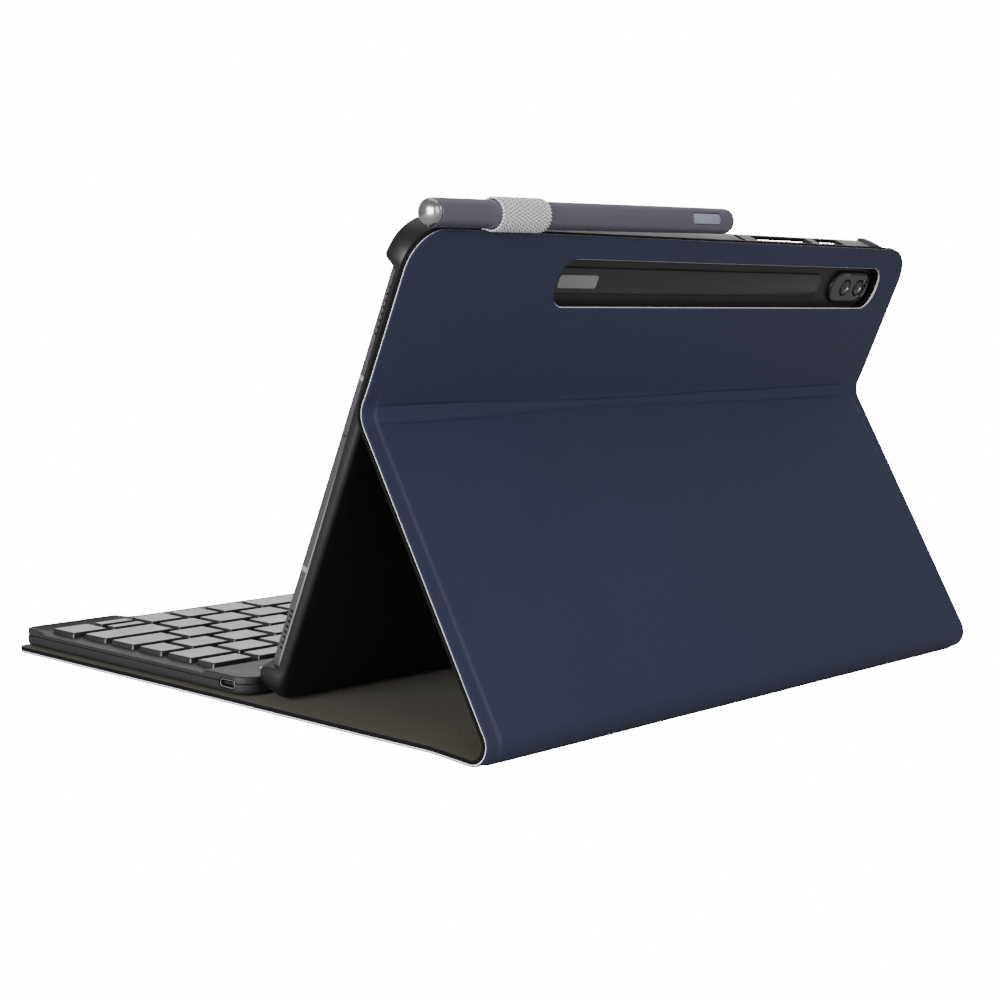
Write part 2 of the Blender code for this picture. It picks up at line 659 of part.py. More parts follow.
def key_plan():
    """Every key as (node name, x0, x1, y0, y1) on the front panel's frame."""
    function_pitch = 2 * KEY_FIELD / 13
    bottom = [("key_right", 0.0165), ("key_up_down", 0.0160), ("key_left", 0.0162),
              ("keys_right_modifiers", 0.0163), ("keys_right_modifiers", 0.0175)]
    left_modifiers = [("keys_left_modifiers", 0.0162)] * 4
    space = 2 * KEY_FIELD + BOTTOM_ROW_SHIFT - sum(pitch for _, pitch in bottom + left_modifiers)
    rows = [
        bottom + [("key_space", space)] + left_modifiers,
        row_of(("key_shift_right", 0.0308), "keys_lower_letters", 10, "key_shift_left"),
        row_of(("key_enter", 0.0232), "keys_home_letters", 11, "key_caps"),
        row_of(("key_backslash", 0.0126), "keys_upper_letters", 11, "key_tab"),
        row_of(("key_backspace", 0.0199), "keys_number_row", 11, "keys_number_row"),
        [("key_lock", function_pitch)] + [("keys_function_row", function_pitch)] * 11
        + [("key_escape", function_pitch)],
    ]
    plan = []
    for index, row in enumerate(rows):
        y0 = KEY_FRONT + index * KEY_PITCH_Y
        depth = FUNCTION_DEPTH if index == len(rows) - 1 else KEY_DEPTH
        right = KEY_FIELD + (BOTTOM_ROW_SHIFT if index == 0 else 0.0)
        for name, x0, x1 in row_slots(row, right):
            if name == "key_up_down":
                middle = y0 + depth / 2
                plan.append(("key_down", x0, x1, y0, middle - 0.0010))
                plan.append(("key_up", x0, x1, middle + 0.0010, y0 + depth))
            else:
                plan.append((name, x0, x1, y0, y0 + depth))
    return plan


def build_keys(materials, plan, parents):
    """Keycaps. The keys of one node share a flange plate under the deck."""
    groups = {}
    for name, x0, x1, y0, y1 in plan:
        groups.setdefault(name, []).append((x0, x1, y0, y1))
    for name, keys in groups.items():
        flange = KEY_FLANGE if name not in ("key_up", "key_down") else GAP
        x0 = min(key[0] for key in keys) - flange
        x1 = max(key[1] for key in keys) + flange
        y0 = min(key[2] for key in keys) - flange
        y1 = max(key[3] for key in keys) + flange
        plate = box(x0, x1, y0, y1, KEY_BASE, KEY_FLANGE_TOP)
        piece = add_piece(name, plate, materials["key"], parents[name], FRONT_FRAME)
        caps = [tapered_box(*key, KEY_BASE + 0.0002, KEY_TOP, KEY_TAPER) for key in keys]
        boolean(piece, merged(caps), "UNION", FRONT_FRAME)


def build_housing(materials, plan, parent):
    frame = FRONT_FRAME
    tray = add_piece("keyboard_tray", extrude(keyboard_outline(), TRAY_BOTTOM, TRAY_TOP),
                     materials["keyboard"], parent, frame)
    boolean(tray, extrude(keyboard_outline(TRAY_WALL), TRAY_FLOOR, TRAY_TOP + 0.001), frame=frame)

    ramp_end = BAR_FRONT + BAR_RAMP
    side = [
        (KEYBOARD_FRONT, DECK_BOTTOM), (KEYBOARD_REAR, DECK_BOTTOM), (KEYBOARD_REAR, BAR_TOP),
        (ramp_end, BAR_TOP), (BAR_FRONT, DECK_TOP), (KEYBOARD_FRONT, DECK_TOP),
    ]
    deck = add_piece("keyboard_deck", extrude(side, -KEYBOARD_HALF_WIDTH, KEYBOARD_HALF_WIDTH, axis="X"),
                     materials["keyboard"], parent, frame)
    for sign in (-1, 1):
        boolean(deck, corner_rim(sign), "UNION", frame)
    boolean(deck, extrude(keyboard_outline(), TRAY_TOP, RIM_TOP + 0.001), "INTERSECT", frame)
    half = KEYBOARD_HALF_WIDTH - TRAY_WALL
    rear_corner = KEYBOARD_REAR_CORNER - TRAY_WALL
    hollow = rounded_rectangle(-half, half, ramp_end + 0.0008, KEYBOARD_REAR - TRAY_WALL,
                               (0, 0, rear_corner, rear_corner))
    boolean(deck, extrude(hollow, TRAY_TOP, BAR_TOP - 0.0008), frame=frame)
    clearance = KEY_CLEARANCE
    openings = [
        box(x0 - clearance, x1 + clearance, y0 - clearance, y1 + clearance, TRAY_TOP, RIM_TOP + 0.001)
        for _, x0, x1, y0, y1 in plan
    ]
    boolean(deck, merged(openings), frame=frame)
    for piece in (tray, deck):
        port = rounded_rectangle(PORT_Y - 0.0037, PORT_Y + 0.0037, PORT_Z - 0.0016, PORT_Z + 0.0016, 0.0015)
        boolean(piece, extrude(port, KEYBOARD_HALF_WIDTH - 0.004, KEYBOARD_HALF_WIDTH + 0.001, axis="X"),
                frame=frame)
    slot = (SWITCH_Y[0] - 0.0005, SWITCH_Y[1] + SWITCH_TRAVEL + 0.0005)
    boolean(tray, box(-KEYBOARD_HALF_WIDTH - 0.001, -KEYBOARD_HALF_WIDTH + 0.002, *slot, 0.0041, 0.0057),
            frame=frame)
    return deck


def corner_rim(sign):
    """Raised lip along the front edge, from the corner inwards, running out into the deck."""
    sections = []
    for x, height in ((KEYBOARD_HALF_WIDTH, RIM_TOP), (0.0890, RIM_TOP), (0.0820, DECK_TOP + 0.0001)):
        base = DECK_TOP - 0.0003
        slope = 0.0070 if height == RIM_TOP else 0.0022
        sections.append([
            (sign * x, KEYBOARD_FRONT, base), (sign * x, KEYBOARD_FRONT, height),
            (sign * x, KEYBOARD_FRONT + 0.0014, height), (sign * x, KEYBOARD_FRONT + slope, base),
        ])
    return loft(sections)


def build_indicator(materials, parent, deck):
    frame = FRONT_FRAME
    y = 0.1025
    centres = (0.098, 0.104, 0.110)
    half_x = 0.0012
    half_y = 0.0005
    holes = []
    pips = []
    for x in centres:
        holes.append(box(x - half_x - GAP, x + half_x + GAP, y - half_y - GAP, y + half_y + GAP,
                         BAR_TOP - 0.002, BAR_TOP + 0.001))
        pips.append(box(x - half_x, x + half_x, y - half_y, y + half_y, 0.0069, BAR_TOP))
    boolean(deck, merged(holes), frame=frame)
    web = box(centres[0] - 0.002, centres[-1] + 0.002, y - 0.0012, y + 0.0012, 0.0067, 0.0072)
    lens = add_piece("indicator_lens", web, materials["lightguide"], parent, frame)
    boolean(lens, merged(pips), "UNION", frame)


def build_inner_pieces(materials, parent, switch_parent):
    frame = FRONT_FRAME
    bay = (0.0965, 0.1105)
    add_piece("key_membrane", box(-0.1215, 0.1215, 0.0075, 0.0915, 0.0038, 0.0042),
              materials["rubber"], parent, frame)
    add_piece("circuit_board", box(0.0480, 0.1140, *bay, 0.0038, 0.0048),
              materials["circuit"], parent, frame)
    add_piece("battery", box(-0.0620, 0.0440, *bay, 0.0038, 0.0068), materials["battery"], parent, frame)
    add_piece("keyboard_magnet", box(-0.1150, -0.0660, *bay, 0.0038, 0.0058),
              materials["steel"], parent, frame)

    y0, y1 = PORT_Y - 0.0034, PORT_Y + 0.0034
    z0, z1 = PORT_Z - 0.0013, PORT_Z + 0.0013
    depth = (KEYBOARD_HALF_WIDTH - 0.0080, KEYBOARD_HALF_WIDTH - 0.0003)
    socket = add_piece("charging_socket", extrude(rounded_rectangle(y0, y1, z0, z1, 0.0012), *depth, axis="X"),
                       materials["socket"], parent, frame)
    wall = 0.0003
    inside = rounded_rectangle(y0 + wall, y1 - wall, z0 + wall, z1 - wall, 0.0009)
    pocket = boolean(socket, extrude(inside, depth[0] + 0.001, depth[1] + 0.001, axis="X"), frame=frame)
    boolean(pocket, box(depth[0], depth[1] - 0.0008, PORT_Y - 0.0023, PORT_Y + 0.0023,
                        PORT_Z - 0.0003, PORT_Z + 0.0003), frame=frame)

    add_piece("power_switch", box(-KEYBOARD_HALF_WIDTH - 0.0005, -KEYBOARD_HALF_WIDTH + 0.0030,
                                  *SWITCH_Y, 0.0044, 0.0054), materials["key"], switch_parent, frame)


# ---------------------------------------------------------------- assembly


def at(y, z, rotation=0.0):
    return Matrix.Translation((0, y, z)) @ Matrix.Rotation(rotation, 4, "X")


def main():
    clear_scene()
    materials = make_materials()
    plan = key_plan()

    front = add_joint_frame("frame_front_cover", FRONT_FRAME)
    crease = FRONT_FRAME @ Vector((0, FRONT_LENGTH, SKIN_TOP / 2))
    spine = add_joint_frame("frame_spine", at(crease.y, crease.z), front)
    kickstand = add_joint_frame("frame_kickstand", at(*stand_fold_axis(), KICK_ANGLE), spine)
    tablet = add_joint_frame("frame_tablet_holder", at(*mid_fold_axis(), LEAN), kickstand)
    stylus = add_joint_frame("frame_stylus", STYLUS_FRAME, tablet)
    keyboard = add_joint_frame("frame_keyboard", FRONT_FRAME, front)

    build_front_panel(materials, front)
    build_spine(materials, spine)
    build_kickstand(materials, kickstand)
    build_upper_panel(materials, tablet)
    build_pen_loop(materials, tablet)
    build_shell(materials, tablet)
    build_tablet(materials, tablet)

    button_frames = {}
    for name, (x0, x1) in (("power_button", POWER_X), ("volume_rocker", VOLUME_X)):
        centre = TABLET_FRAME @ Matrix.Translation(((x0 + x1) / 2, TABLET_TOP, sum(BUTTON_Z) / 2))
        button_frames[name] = add_joint_frame(f"frame_{name}", centre, tablet)
    build_tablet_buttons(materials, button_frames)

    centre = STYLUS_FRAME @ Matrix.Translation((sum(STYLUS_BUTTON) / 2, 0, -STYLUS_RADIUS))
    build_stylus(materials, stylus, add_joint_frame("frame_stylus_button", centre, stylus))

    key_frames = {}
    for name, x0, x1, y0, y1 in plan:
        if name not in key_frames:
            centre = FRONT_FRAME @ Matrix.Translation(((x0 + x1) / 2, (y0 + y1) / 2, KEY_TOP))
            key_frames[name] = add_joint_frame(f"frame_{name}", centre, keyboard)
    build_keys(materials, plan, key_frames)
    deck = build_housing(materials, plan, keyboard)
    build_indicator(materials, keyboard, deck)
    centre = FRONT_FRAME @ Matrix.Translation((-KEYBOARD_HALF_WIDTH, sum(SWITCH_Y) / 2, 0.0049))
    build_inner_pieces(materials, keyboard, add_joint_frame("frame_power_switch", centre, keyboard))


main()
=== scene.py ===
import math

import bmesh
import bpy
from mathutils import Matrix, Vector


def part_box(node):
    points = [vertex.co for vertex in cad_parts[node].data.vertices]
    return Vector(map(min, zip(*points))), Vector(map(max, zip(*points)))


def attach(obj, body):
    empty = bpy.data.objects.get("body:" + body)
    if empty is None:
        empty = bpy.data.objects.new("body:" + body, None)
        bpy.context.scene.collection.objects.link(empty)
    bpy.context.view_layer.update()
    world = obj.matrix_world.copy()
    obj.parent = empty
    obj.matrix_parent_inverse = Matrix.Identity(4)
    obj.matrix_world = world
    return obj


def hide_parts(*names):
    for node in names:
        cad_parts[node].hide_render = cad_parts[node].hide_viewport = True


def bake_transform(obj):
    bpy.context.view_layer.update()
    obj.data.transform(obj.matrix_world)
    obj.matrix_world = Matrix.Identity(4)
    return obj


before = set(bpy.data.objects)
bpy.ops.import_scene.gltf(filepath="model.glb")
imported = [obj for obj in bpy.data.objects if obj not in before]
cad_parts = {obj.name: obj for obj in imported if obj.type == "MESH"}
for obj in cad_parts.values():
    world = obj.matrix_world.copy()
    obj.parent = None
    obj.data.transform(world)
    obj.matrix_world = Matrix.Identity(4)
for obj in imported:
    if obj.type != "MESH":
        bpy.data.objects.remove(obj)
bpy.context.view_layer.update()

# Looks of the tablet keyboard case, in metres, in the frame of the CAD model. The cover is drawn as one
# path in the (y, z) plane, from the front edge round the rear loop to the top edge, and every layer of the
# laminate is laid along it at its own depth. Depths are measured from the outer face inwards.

MM = 0.001
TAU = 2 * math.pi

# ---------------------------------------------------------------- driving dimensions

HALF_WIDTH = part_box("front_skin")[1].x
HALF_DEPTH = -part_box("front_skin")[0].y
GAP = 0.3 * MM

CREASE = Vector((85.6, 1.0)) * MM             # fold points on the outer face, as (y, z)
FOLD = Vector((55.9, 91.0)) * MM
LOOP_RADIUS = 6.5 * MM
LEAN = math.radians(68.4)
UPPER_HEIGHT = 55.0 * MM
LAMINATE = 2.4 * MM                           # whole thickness
LEATHER = 0.30 * MM
BACKING = 0.33 * MM                           # white backing under the leather
LINING_AT = 1.75 * MM
RECESS = 0.40 * MM                            # how far the outer face drops beyond the boards
CREASE_TANGENT = 1.5 * MM
CREASE_REACH = 6.0 * MM                       # how far a soft piece goes to each side of its fold
LOOP_REACH = 4.0 * MM
FOLD_REACH = 9.0 * MM
FOLD_RADIUS = 7.0 * MM

FRONT_CORNER = 3.0 * MM
TOP_CORNER = 12.0 * MM
WINDOW = tuple(v * MM for v in (-114.5, 64.0, 32.4, 47.6))
WINDOW_CORNER = 6.5 * MM

SHELL_HALF_WIDTH = 124.0 * MM
SHELL_BOTTOM = -95.3 * MM
SHELL_TOP = 54.3 * MM
SHELL_CORNER = 12.0 * MM
SHELL_LOWER_CORNER = 7.0 * MM                 # outside of the two lower bumpers
SHELL_WALL = 1.3 * MM
SHELL_BACK = 2.7 * MM
SHELL_FLOOR = 4.1 * MM
SIDE_WALL_TOP = 6.0 * MM
LONG_WALL_TOP = 10.7 * MM
LIP_BOTTOM = 11.0 * MM
LIP_TOP = 12.6 * MM
LIP_REACH = 2.4 * MM
BUMPER_TOP_LENGTH = 13.0 * MM
BUMPER_BOTTOM_LENGTH = 8.5 * MM
BUMPER_ALONG_X = 15.0 * MM

TABLET_MARGIN = SHELL_WALL + GAP
TABLET_HALF_WIDTH = SHELL_HALF_WIDTH - TABLET_MARGIN
TABLET_BOTTOM = SHELL_BOTTOM + TABLET_MARGIN
TABLET_TOP = SHELL_TOP - TABLET_MARGIN
TABLET_CORNER = SHELL_CORNER - TABLET_MARGIN
BODY_TOP = 9.6 * MM
GLASS_TOP = LIP_BOTTOM - GAP
VOLUME_X = (-68.0 * MM, -42.0 * MM)
POWER_X = (-89.0 * MM, -77.5 * MM)
BUTTON_Z = (5.8 * MM, 8.2 * MM)
CUT_OUT_Z = (4.8 * MM, 9.4 * MM)               # openings in the shell's top wall
MICROPHONE_X = (-31.0 * MM, -28.5 * MM)
SPEAKER_Z = (8.0 * MM, 9.25 * MM)

STYLUS_RADIUS = 4.0 * MM
STYLUS_AT = Vector((60.3, 0.0)) * MM          # axis at the loop, as (along the tablet, depth)
STYLUS_TILT = math.radians(-1.0)              # it hangs in the loop with its nib end raised
STYLUS_ROLL = math.radians(30.0)
STYLUS_NIB_X = -9.0 * MM
STYLUS_CAP_X = 124.7 * MM
STYLUS_BUTTON = (-0.3 * MM, 13.8 * MM)
LOOP_X = (81.7 * MM, 101.4 * MM)
LOOP_WALL = 0.6 * MM
LOOP_TAIL = (45.2 * MM, 55.6 * MM)            # sewn in between skin and lining
LOOP_TAIL_DEPTH = 1.3 * MM
LOOP_NOTCH_MARGIN = 0.7 * MM

KEYBOARD_HALF_WIDTH = 126.0 * MM
KEYBOARD_FRONT = 1.0 * MM
KEYBOARD_REAR = 112.8 * MM
KEYBOARD_CORNERS = (3.5 * MM, 6.0 * MM)       # front and rear
TRAY_BOTTOM = LAMINATE + GAP
TRAY_TOP = 6.1 * MM
TRAY_WALL = 1.4 * MM
DECK_BOTTOM = TRAY_TOP + GAP
DECK_TOP = 7.2 * MM
BAR_FRONT = 92.5 * MM
BAR_RAMP = 2.0 * MM
BAR_TOP = 8.4 * MM
RIM_TOP = 8.6 * MM
KEY_FIELD = 120.0 * MM
BOTTOM_ROW_SHIFT = 2.0 * MM
KEY_FRONT = 9.5 * MM
KEY_PITCH_Y = 14.4 * MM
KEY_DEPTH = 12.0 * MM
FUNCTION_DEPTH = 8.6 * MM
KEY_PITCH_X = 17.7 * MM
KEY_GAP_X = 2.2 * MM
KEY_TOP = 8.7 * MM
KEY_TAPER = 0.4 * MM
KEY_CLEARANCE = 0.35 * MM
KEY_BASE = 5.6 * MM
KEY_FLANGE = 0.8 * MM
PORT = Vector((104.5, 5.7)) * MM
SWITCH_Y = (100.0 * MM, 103.0 * MM)
SWITCH_TRAVEL = 3.5 * MM
PIPS_X = (98.0 * MM, 104.0 * MM, 110.0 * MM)
PIPS_Y = 102.5 * MM

# ---------------------------------------------------------------- frames and the cover's path

TILT = math.atan2(CREASE.y, CREASE.x + HALF_DEPTH)
FRONT_LENGTH = (CREASE - Vector((-HALF_DEPTH, 0))).length
LOOP_CENTRE = Vector((HALF_DEPTH - LOOP_RADIUS, LOOP_RADIUS))
SPINE_ANGLE = -math.atan2(CREASE.y, LOOP_CENTRE.x - CREASE.x)
TO_FOLD = FOLD - LOOP_CENTRE
KICK_ANGLE = math.atan2(TO_FOLD.y, TO_FOLD.x) + math.asin(LOOP_RADIUS / TO_FOLD.length)
KICK_LENGTH = math.sqrt(TO_FOLD.length_squared - LOOP_RADIUS ** 2)
SPINE_LENGTH = math.hypot(CREASE.y - LOOP_RADIUS * (1 - math.cos(SPINE_ANGLE)),
                          LOOP_CENTRE.x + LOOP_RADIUS * math.sin(SPINE_ANGLE) - CREASE.x)
FOLD_TANGENT = FOLD_RADIUS * math.tan((KICK_ANGLE - LEAN) / 2)

FRONT_FRAME = Matrix.Translation((0, -HALF_DEPTH, 0)) @ Matrix.Rotation(TILT, 4, "X")
TABLET_FRAME = Matrix.Translation((0, FOLD.x, FOLD.y)) @ Matrix.Rotation(LEAN, 4, "X")
LOOP_MIDDLE = sum(LOOP_X) / 2
LOOP_FRAME = (TABLET_FRAME @ Matrix.Translation((LOOP_MIDDLE, STYLUS_AT.x, STYLUS_AT.y))
              @ Matrix.Rotation(STYLUS_TILT, 4, "Z") @ Matrix.Translation((-LOOP_MIDDLE, 0, 0)))
STYLUS_FRAME = LOOP_FRAME @ Matrix.Rotation(STYLUS_ROLL, 4, "X")


def arc_length(tangent, turn):
    return tangent / math.tan(abs(turn) / 2) * abs(turn)


PATH = [                                      # (length, turn) of each stretch
    (FRONT_LENGTH - CREASE_TANGENT, 0.0),
    (arc_length(CREASE_TANGENT, SPINE_ANGLE - TILT), SPINE_ANGLE - TILT),
    (SPINE_LENGTH - CREASE_TANGENT, 0.0),
    (LOOP_RADIUS * (KICK_ANGLE - SPINE_ANGLE), KICK_ANGLE - SPINE_ANGLE),
    (KICK_LENGTH - FOLD_TANGENT, 0.0),
    (FOLD_RADIUS * (KICK_ANGLE - LEAN), LEAN - KICK_ANGLE),
    (UPPER_HEIGHT - FOLD_TANGENT, 0.0),
]
MARKS = [sum(length for length, _ in PATH[:i]) for i in range(len(PATH) + 1)]
CREASE_AT = (MARKS[1] + MARKS[2]) / 2
LOOP_START, LOOP_END = MARKS[3], MARKS[4]
FOLD_AT = (MARKS[5] + MARKS[6]) / 2
TOP_AT = MARKS[7]


def path_point(s):
    """(point, direction) of the cover's outer face at a length s from the front edge."""
    point = Vector((-HALF_DEPTH, 0.0))
    angle = TILT
    for index, (length, turn) in enumerate(PATH):
        step = s - MARKS[index]
        if index < len(PATH) - 1:
            step = min(step, length)
        if turn == 0.0:
            point = point + Vector((math.cos(angle), math.sin(angle))) * step
        else:
            radius = length / turn
            swept = turn * step / length
            point = point + radius * Vector((math.sin(angle + swept) - math.sin(angle),
                                             math.cos(angle) - math.cos(angle + swept)))
            angle += swept
        if s <= MARKS[index + 1]:
            break
    return point, angle


def on_cover(x, s, depth):
    point, angle = path_point(s)
    return Vector((x, point.x - math.sin(angle) * depth, point.y + math.cos(angle) * depth))


# ---------------------------------------------------------------- materials


def add_node(nodes, kind, **inputs):
    node = nodes.new("ShaderNode" + kind)
    for key, value in inputs.items():
        node.inputs[key.replace("_", " ")].default_value = value
    return node


def surface(name, colour, roughness, metallic=0.0, second=None, mottle=60.0, grain=2500.0, bump=0.03,
            variation=0.08, coordinates="Object", cells=False, **inputs):
    """Principled material: the colour wanders between two values, and a fine grain sets bump and roughness.

    mottle and grain are in features per metre, bump is the grain's height in millimetres.
    """
    material = bpy.data.materials.new(name)
    material.use_nodes = True
    nodes, links = material.node_tree.nodes, material.node_tree.links
    shader = nodes["Principled BSDF"]
    where = nodes.new("ShaderNodeTexCoord").outputs[coordinates]

    patches = add_node(nodes, "TexNoise", Scale=mottle, Detail=4.0)
    links.new(where, patches.inputs["Vector"])
    blend = nodes.new("ShaderNodeMix")
    blend.data_type = "RGBA"
    links.new(patches.outputs["Fac"], blend.inputs["Factor"])
    blend.inputs["A"].default_value = (*colour, 1.0)
    blend.inputs["B"].default_value = (*(second or [c * 1.18 for c in colour]), 1.0)
    links.new(blend.outputs["Result"], shader.inputs["Base Color"])

    if cells:
        fine = add_node(nodes, "TexVoronoi", Scale=grain)
        height = fine.outputs["Distance"]
    else:
        fine = add_node(nodes, "TexNoise", Scale=grain, Detail=3.0)
        height = fine.outputs["Fac"]
    links.new(where, fine.inputs["Vector"])
    relief = add_node(nodes, "Bump", Distance=bump * MM, Strength=1.0)
    links.new(height, relief.inputs["Height"])
    links.new(relief.outputs["Normal"], shader.inputs["Normal"])

    spread = add_node(nodes, "MapRange", To_Min=max(roughness - variation, 0.02),
                      To_Max=min(roughness + variation, 1.0))
    links.new(patches.outputs["Fac"], spread.inputs["Value"])
    links.new(spread.outputs["Result"], shader.inputs["Roughness"])

    shader.inputs["Metallic"].default_value = metallic
    for key, value in inputs.items():
        shader.inputs[key.replace("_", " ")].default_value = value
    return material


def woven(name, colour, second, pitch, roughness, bump):
    """Cloth with crossing threads: two band patterns at right angles, in the cover's own coordinates."""
    material = surface(name, colour, roughness, second=second, mottle=25.0, grain=900.0, bump=bump,
                       coordinates="UV")
    nodes, links = material.node_tree.nodes, material.node_tree.links
    shader = nodes["Principled BSDF"]
    where = next(n for n in nodes if n.type == "TEX_COORD").outputs["UV"]
    relief = next(n for n in nodes if n.type == "BUMP")
    bands = []
    for direction in ("X", "Y"):
        wave = add_node(nodes, "TexWave", Scale=0.31 / pitch, Distortion=1.2, Detail=1.0)
        wave.bands_direction = direction
        links.new(where, wave.inputs["Vector"])
        bands.append(wave)
    cross = add_node(nodes, "Math")
    cross.operation = "MAXIMUM"
    links.new(bands[0].outputs["Fac"], cross.inputs[0])
    links.new(bands[1].outputs["Fac"], cross.inputs[1])
    links.new(cross.outputs[0], relief.inputs["Height"])
    shader.inputs["Specular IOR Level"].default_value = 0.08
    shader.inputs["Sheen Weight"].default_value = 0.04
    shader.inputs["Sheen Roughness"].default_value = 0.5
    return material


def make_materials():
    return {
        "leather": surface("leather", (0.0255, 0.0300, 0.0640), 0.50, second=(0.0310, 0.0350, 0.0740),
                           mottle=22.0, grain=1900.0, bump=0.045, coordinates="UV", cells=True,
                           Specular_IOR_Level=0.35),
        "backing": surface("backing", (0.93, 0.93, 0.92), 0.85, second=(0.97, 0.97, 0.96), grain=3000.0,
                           bump=0.04),
        "board": surface("board_edge", (0.008, 0.008, 0.009), 0.90, grain=2200.0, bump=0.06,
                         Specular_IOR_Level=0.05),
        "lining": woven("lining", (0.062, 0.057, 0.041), (0.092, 0.084, 0.061), 0.6 * MM, 0.95, 0.06),
        "shell": surface("shell", (0.0060, 0.0060, 0.0066), 0.38, grain=1800.0, bump=0.012,
                         mottle=120.0),
        "metal": surface("tablet_metal", (0.095, 0.083, 0.095), 0.42, 0.6, grain=5200.0, bump=0.004),
        # Brighter copy of the tablet's metal: painted highlight on the rail's band behind its side; the same
        # material is also the real bright trim ring of each rear lens.
        "bright_trim_and_painted_highlight": surface("tablet_bright_trim_and_painted_highlight", (0.42, 0.38, 0.42), 0.30, 0.9, grain=5200.0, bump=0.003),
        "metal_back": surface("tablet_back", (0.050, 0.049, 0.050), 0.45, 0.6, grain=4200.0, bump=0.006),
        "antenna": surface("antenna_band", (0.24, 0.23, 0.24), 0.55, grain=2600.0, bump=0.01),
        "glass": surface("display_glass", (0.004, 0.004, 0.005), 0.06, grain=400.0, bump=0.0005,
                         variation=0.02),
        "display": surface("display", (0.009, 0.010, 0.012), 0.08, grain=400.0, bump=0.0005,
                           variation=0.02),
        "strip": surface("pen_strip", (0.022, 0.022, 0.023), 0.22, grain=900.0, bump=0.002,
                         variation=0.04),
        "pill": surface("pen_mark", (0.22, 0.22, 0.225), 0.40, grain=2400.0, bump=0.006),
        "dark": surface("dark_gap", (0.004, 0.004, 0.004), 0.80, grain=1200.0, bump=0.02),
        "lens": surface("lens", (0.006, 0.006, 0.009), 0.05, grain=500.0, bump=0.0005, variation=0.02,
                        Coat_Weight=1.0),
        "lens_ring": surface("lens_ring", (0.020, 0.020, 0.021), 0.35, 0.5, grain=3000.0, bump=0.003),
        "elastic": surface("elastic", (0.86, 0.86, 0.87), 0.80, second=(0.92, 0.92, 0.92), mottle=700.0,
                           grain=7000.0, bump=0.06, Sheen_Weight=0.3),
        # Dark copy of the elastic: painted shade, laid on the faces in the knit's hollows.
        "elastic_painted_shade": surface("elastic_painted_shade", (0.120, 0.120, 0.125), 0.90, second=(0.24, 0.24, 0.245),
                               mottle=700.0, grain=7000.0, bump=0.06),
        "stylus": surface("stylus_body", (0.150, 0.140, 0.185), 0.36, 0.35, second=(0.165, 0.155, 0.200),
                          grain=4200.0, bump=0.004),
        "chrome": surface("chrome", (0.46, 0.46, 0.48), 0.22, 1.0, grain=2500.0, bump=0.001,
                          variation=0.04),
        "nib": surface("nib", (0.07, 0.07, 0.075), 0.65, grain=5000.0, bump=0.01),
        "stylus_button": surface("stylus_button", (0.30, 0.32, 0.42), 0.38, grain=3000.0, bump=0.003),
        "housing": surface("housing", (0.0100, 0.0100, 0.0105), 0.62, grain=2100.0, bump=0.040,
                           cells=True),
        "keycap": surface("keycap", (0.0120, 0.0120, 0.0130), 0.36, grain=2600.0, bump=0.006,
                          mottle=90.0, Specular_IOR_Level=0.7),
        "rubber": surface("rubber", (0.16, 0.16, 0.17), 0.80, grain=1500.0, bump=0.03),
        "circuit": surface("circuit", (0.010, 0.080, 0.035), 0.45, second=(0.016, 0.110, 0.050),
                           mottle=300.0, grain=1200.0, bump=0.02),
        "battery": surface("battery", (0.42, 0.42, 0.44), 0.35, 0.8, grain=700.0, bump=0.05),
        "steel": surface("steel", (0.50, 0.50, 0.51), 0.35, 1.0, grain=2500.0, bump=0.006),
        "socket": surface("socket", (0.55, 0.55, 0.56), 0.26, 1.0, grain=2500.0, bump=0.004),
        "contact": surface("contact", (0.70, 0.52, 0.22), 0.30, 1.0, grain=2500.0, bump=0.003),
        "lightguide": surface("lightguide", (0.50, 0.52, 0.55), 0.30, grain=1500.0, bump=0.004),
    }


M = make_materials()

# ---------------------------------------------------------------- mesh helpers

MARGINS = (0, 0.08, 0.2, 0.45, 1.0, 2.0, 3.2, 4.0, 4.4, 4.8, 5.2, 5.6, 6.2)   # in from an edge, in mm
ROW_APART = 0.03 * MM                         # least distance between two rows of a sheet


def add_object(name, data):
    obj = bpy.data.objects.new(name, data)
    bpy.context.scene.collection.objects.link(obj)
    return obj


def add_mesh(name, mesh):
    """Object from a bmesh, which is freed."""
    data = bpy.data.meshes.new(name)
    mesh.to_mesh(data)
    mesh.free()
    return add_object(name, data)


def finish_mesh(name, mesh, materials, body=None, angle=38.0):
    """Object from a bmesh, shaded smooth with its sharp edges kept, riding on a body."""
    bmesh.ops.recalc_face_normals(mesh, faces=mesh.faces)
    obj = add_mesh(name, mesh)
    for key in materials:
        obj.data.materials.append(M[key])
    shade(obj, angle)
    if body:
        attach(obj, body)
    return obj


def shade(obj, angle=38.0):
    obj.data.shade_smooth()
    obj.data.set_sharp_from_angle(angle=math.radians(angle))


def cut(obj, cutters, operation="DIFFERENCE", angle=38.0):
    """Boolean with closed tools, applied at once. The tools are removed."""
    for tool in cutters:
        modifier = obj.modifiers.new(tool.name, "BOOLEAN")
        modifier.operation = operation
        modifier.solver = "EXACT"
        modifier.object = tool
    bpy.context.view_layer.update()
    evaluated = obj.evaluated_get(bpy.context.evaluated_depsgraph_get())
    old = obj.data
    obj.data = bpy.data.meshes.new_from_object(evaluated)
    obj.modifiers.clear()
    bpy.data.meshes.remove(old)
    for tool in cutters:
        bpy.data.objects.remove(tool, do_unlink=True)
    shade(obj, angle)
    return obj


def arc(centre, radius, start, end, steps):
    points = []
    for i in range(steps + 1):
        angle = start + (end - start) * i / steps
        points.append((centre[0] + radius * math.cos(angle), centre[1] + radius * math.sin(angle)))
    return points


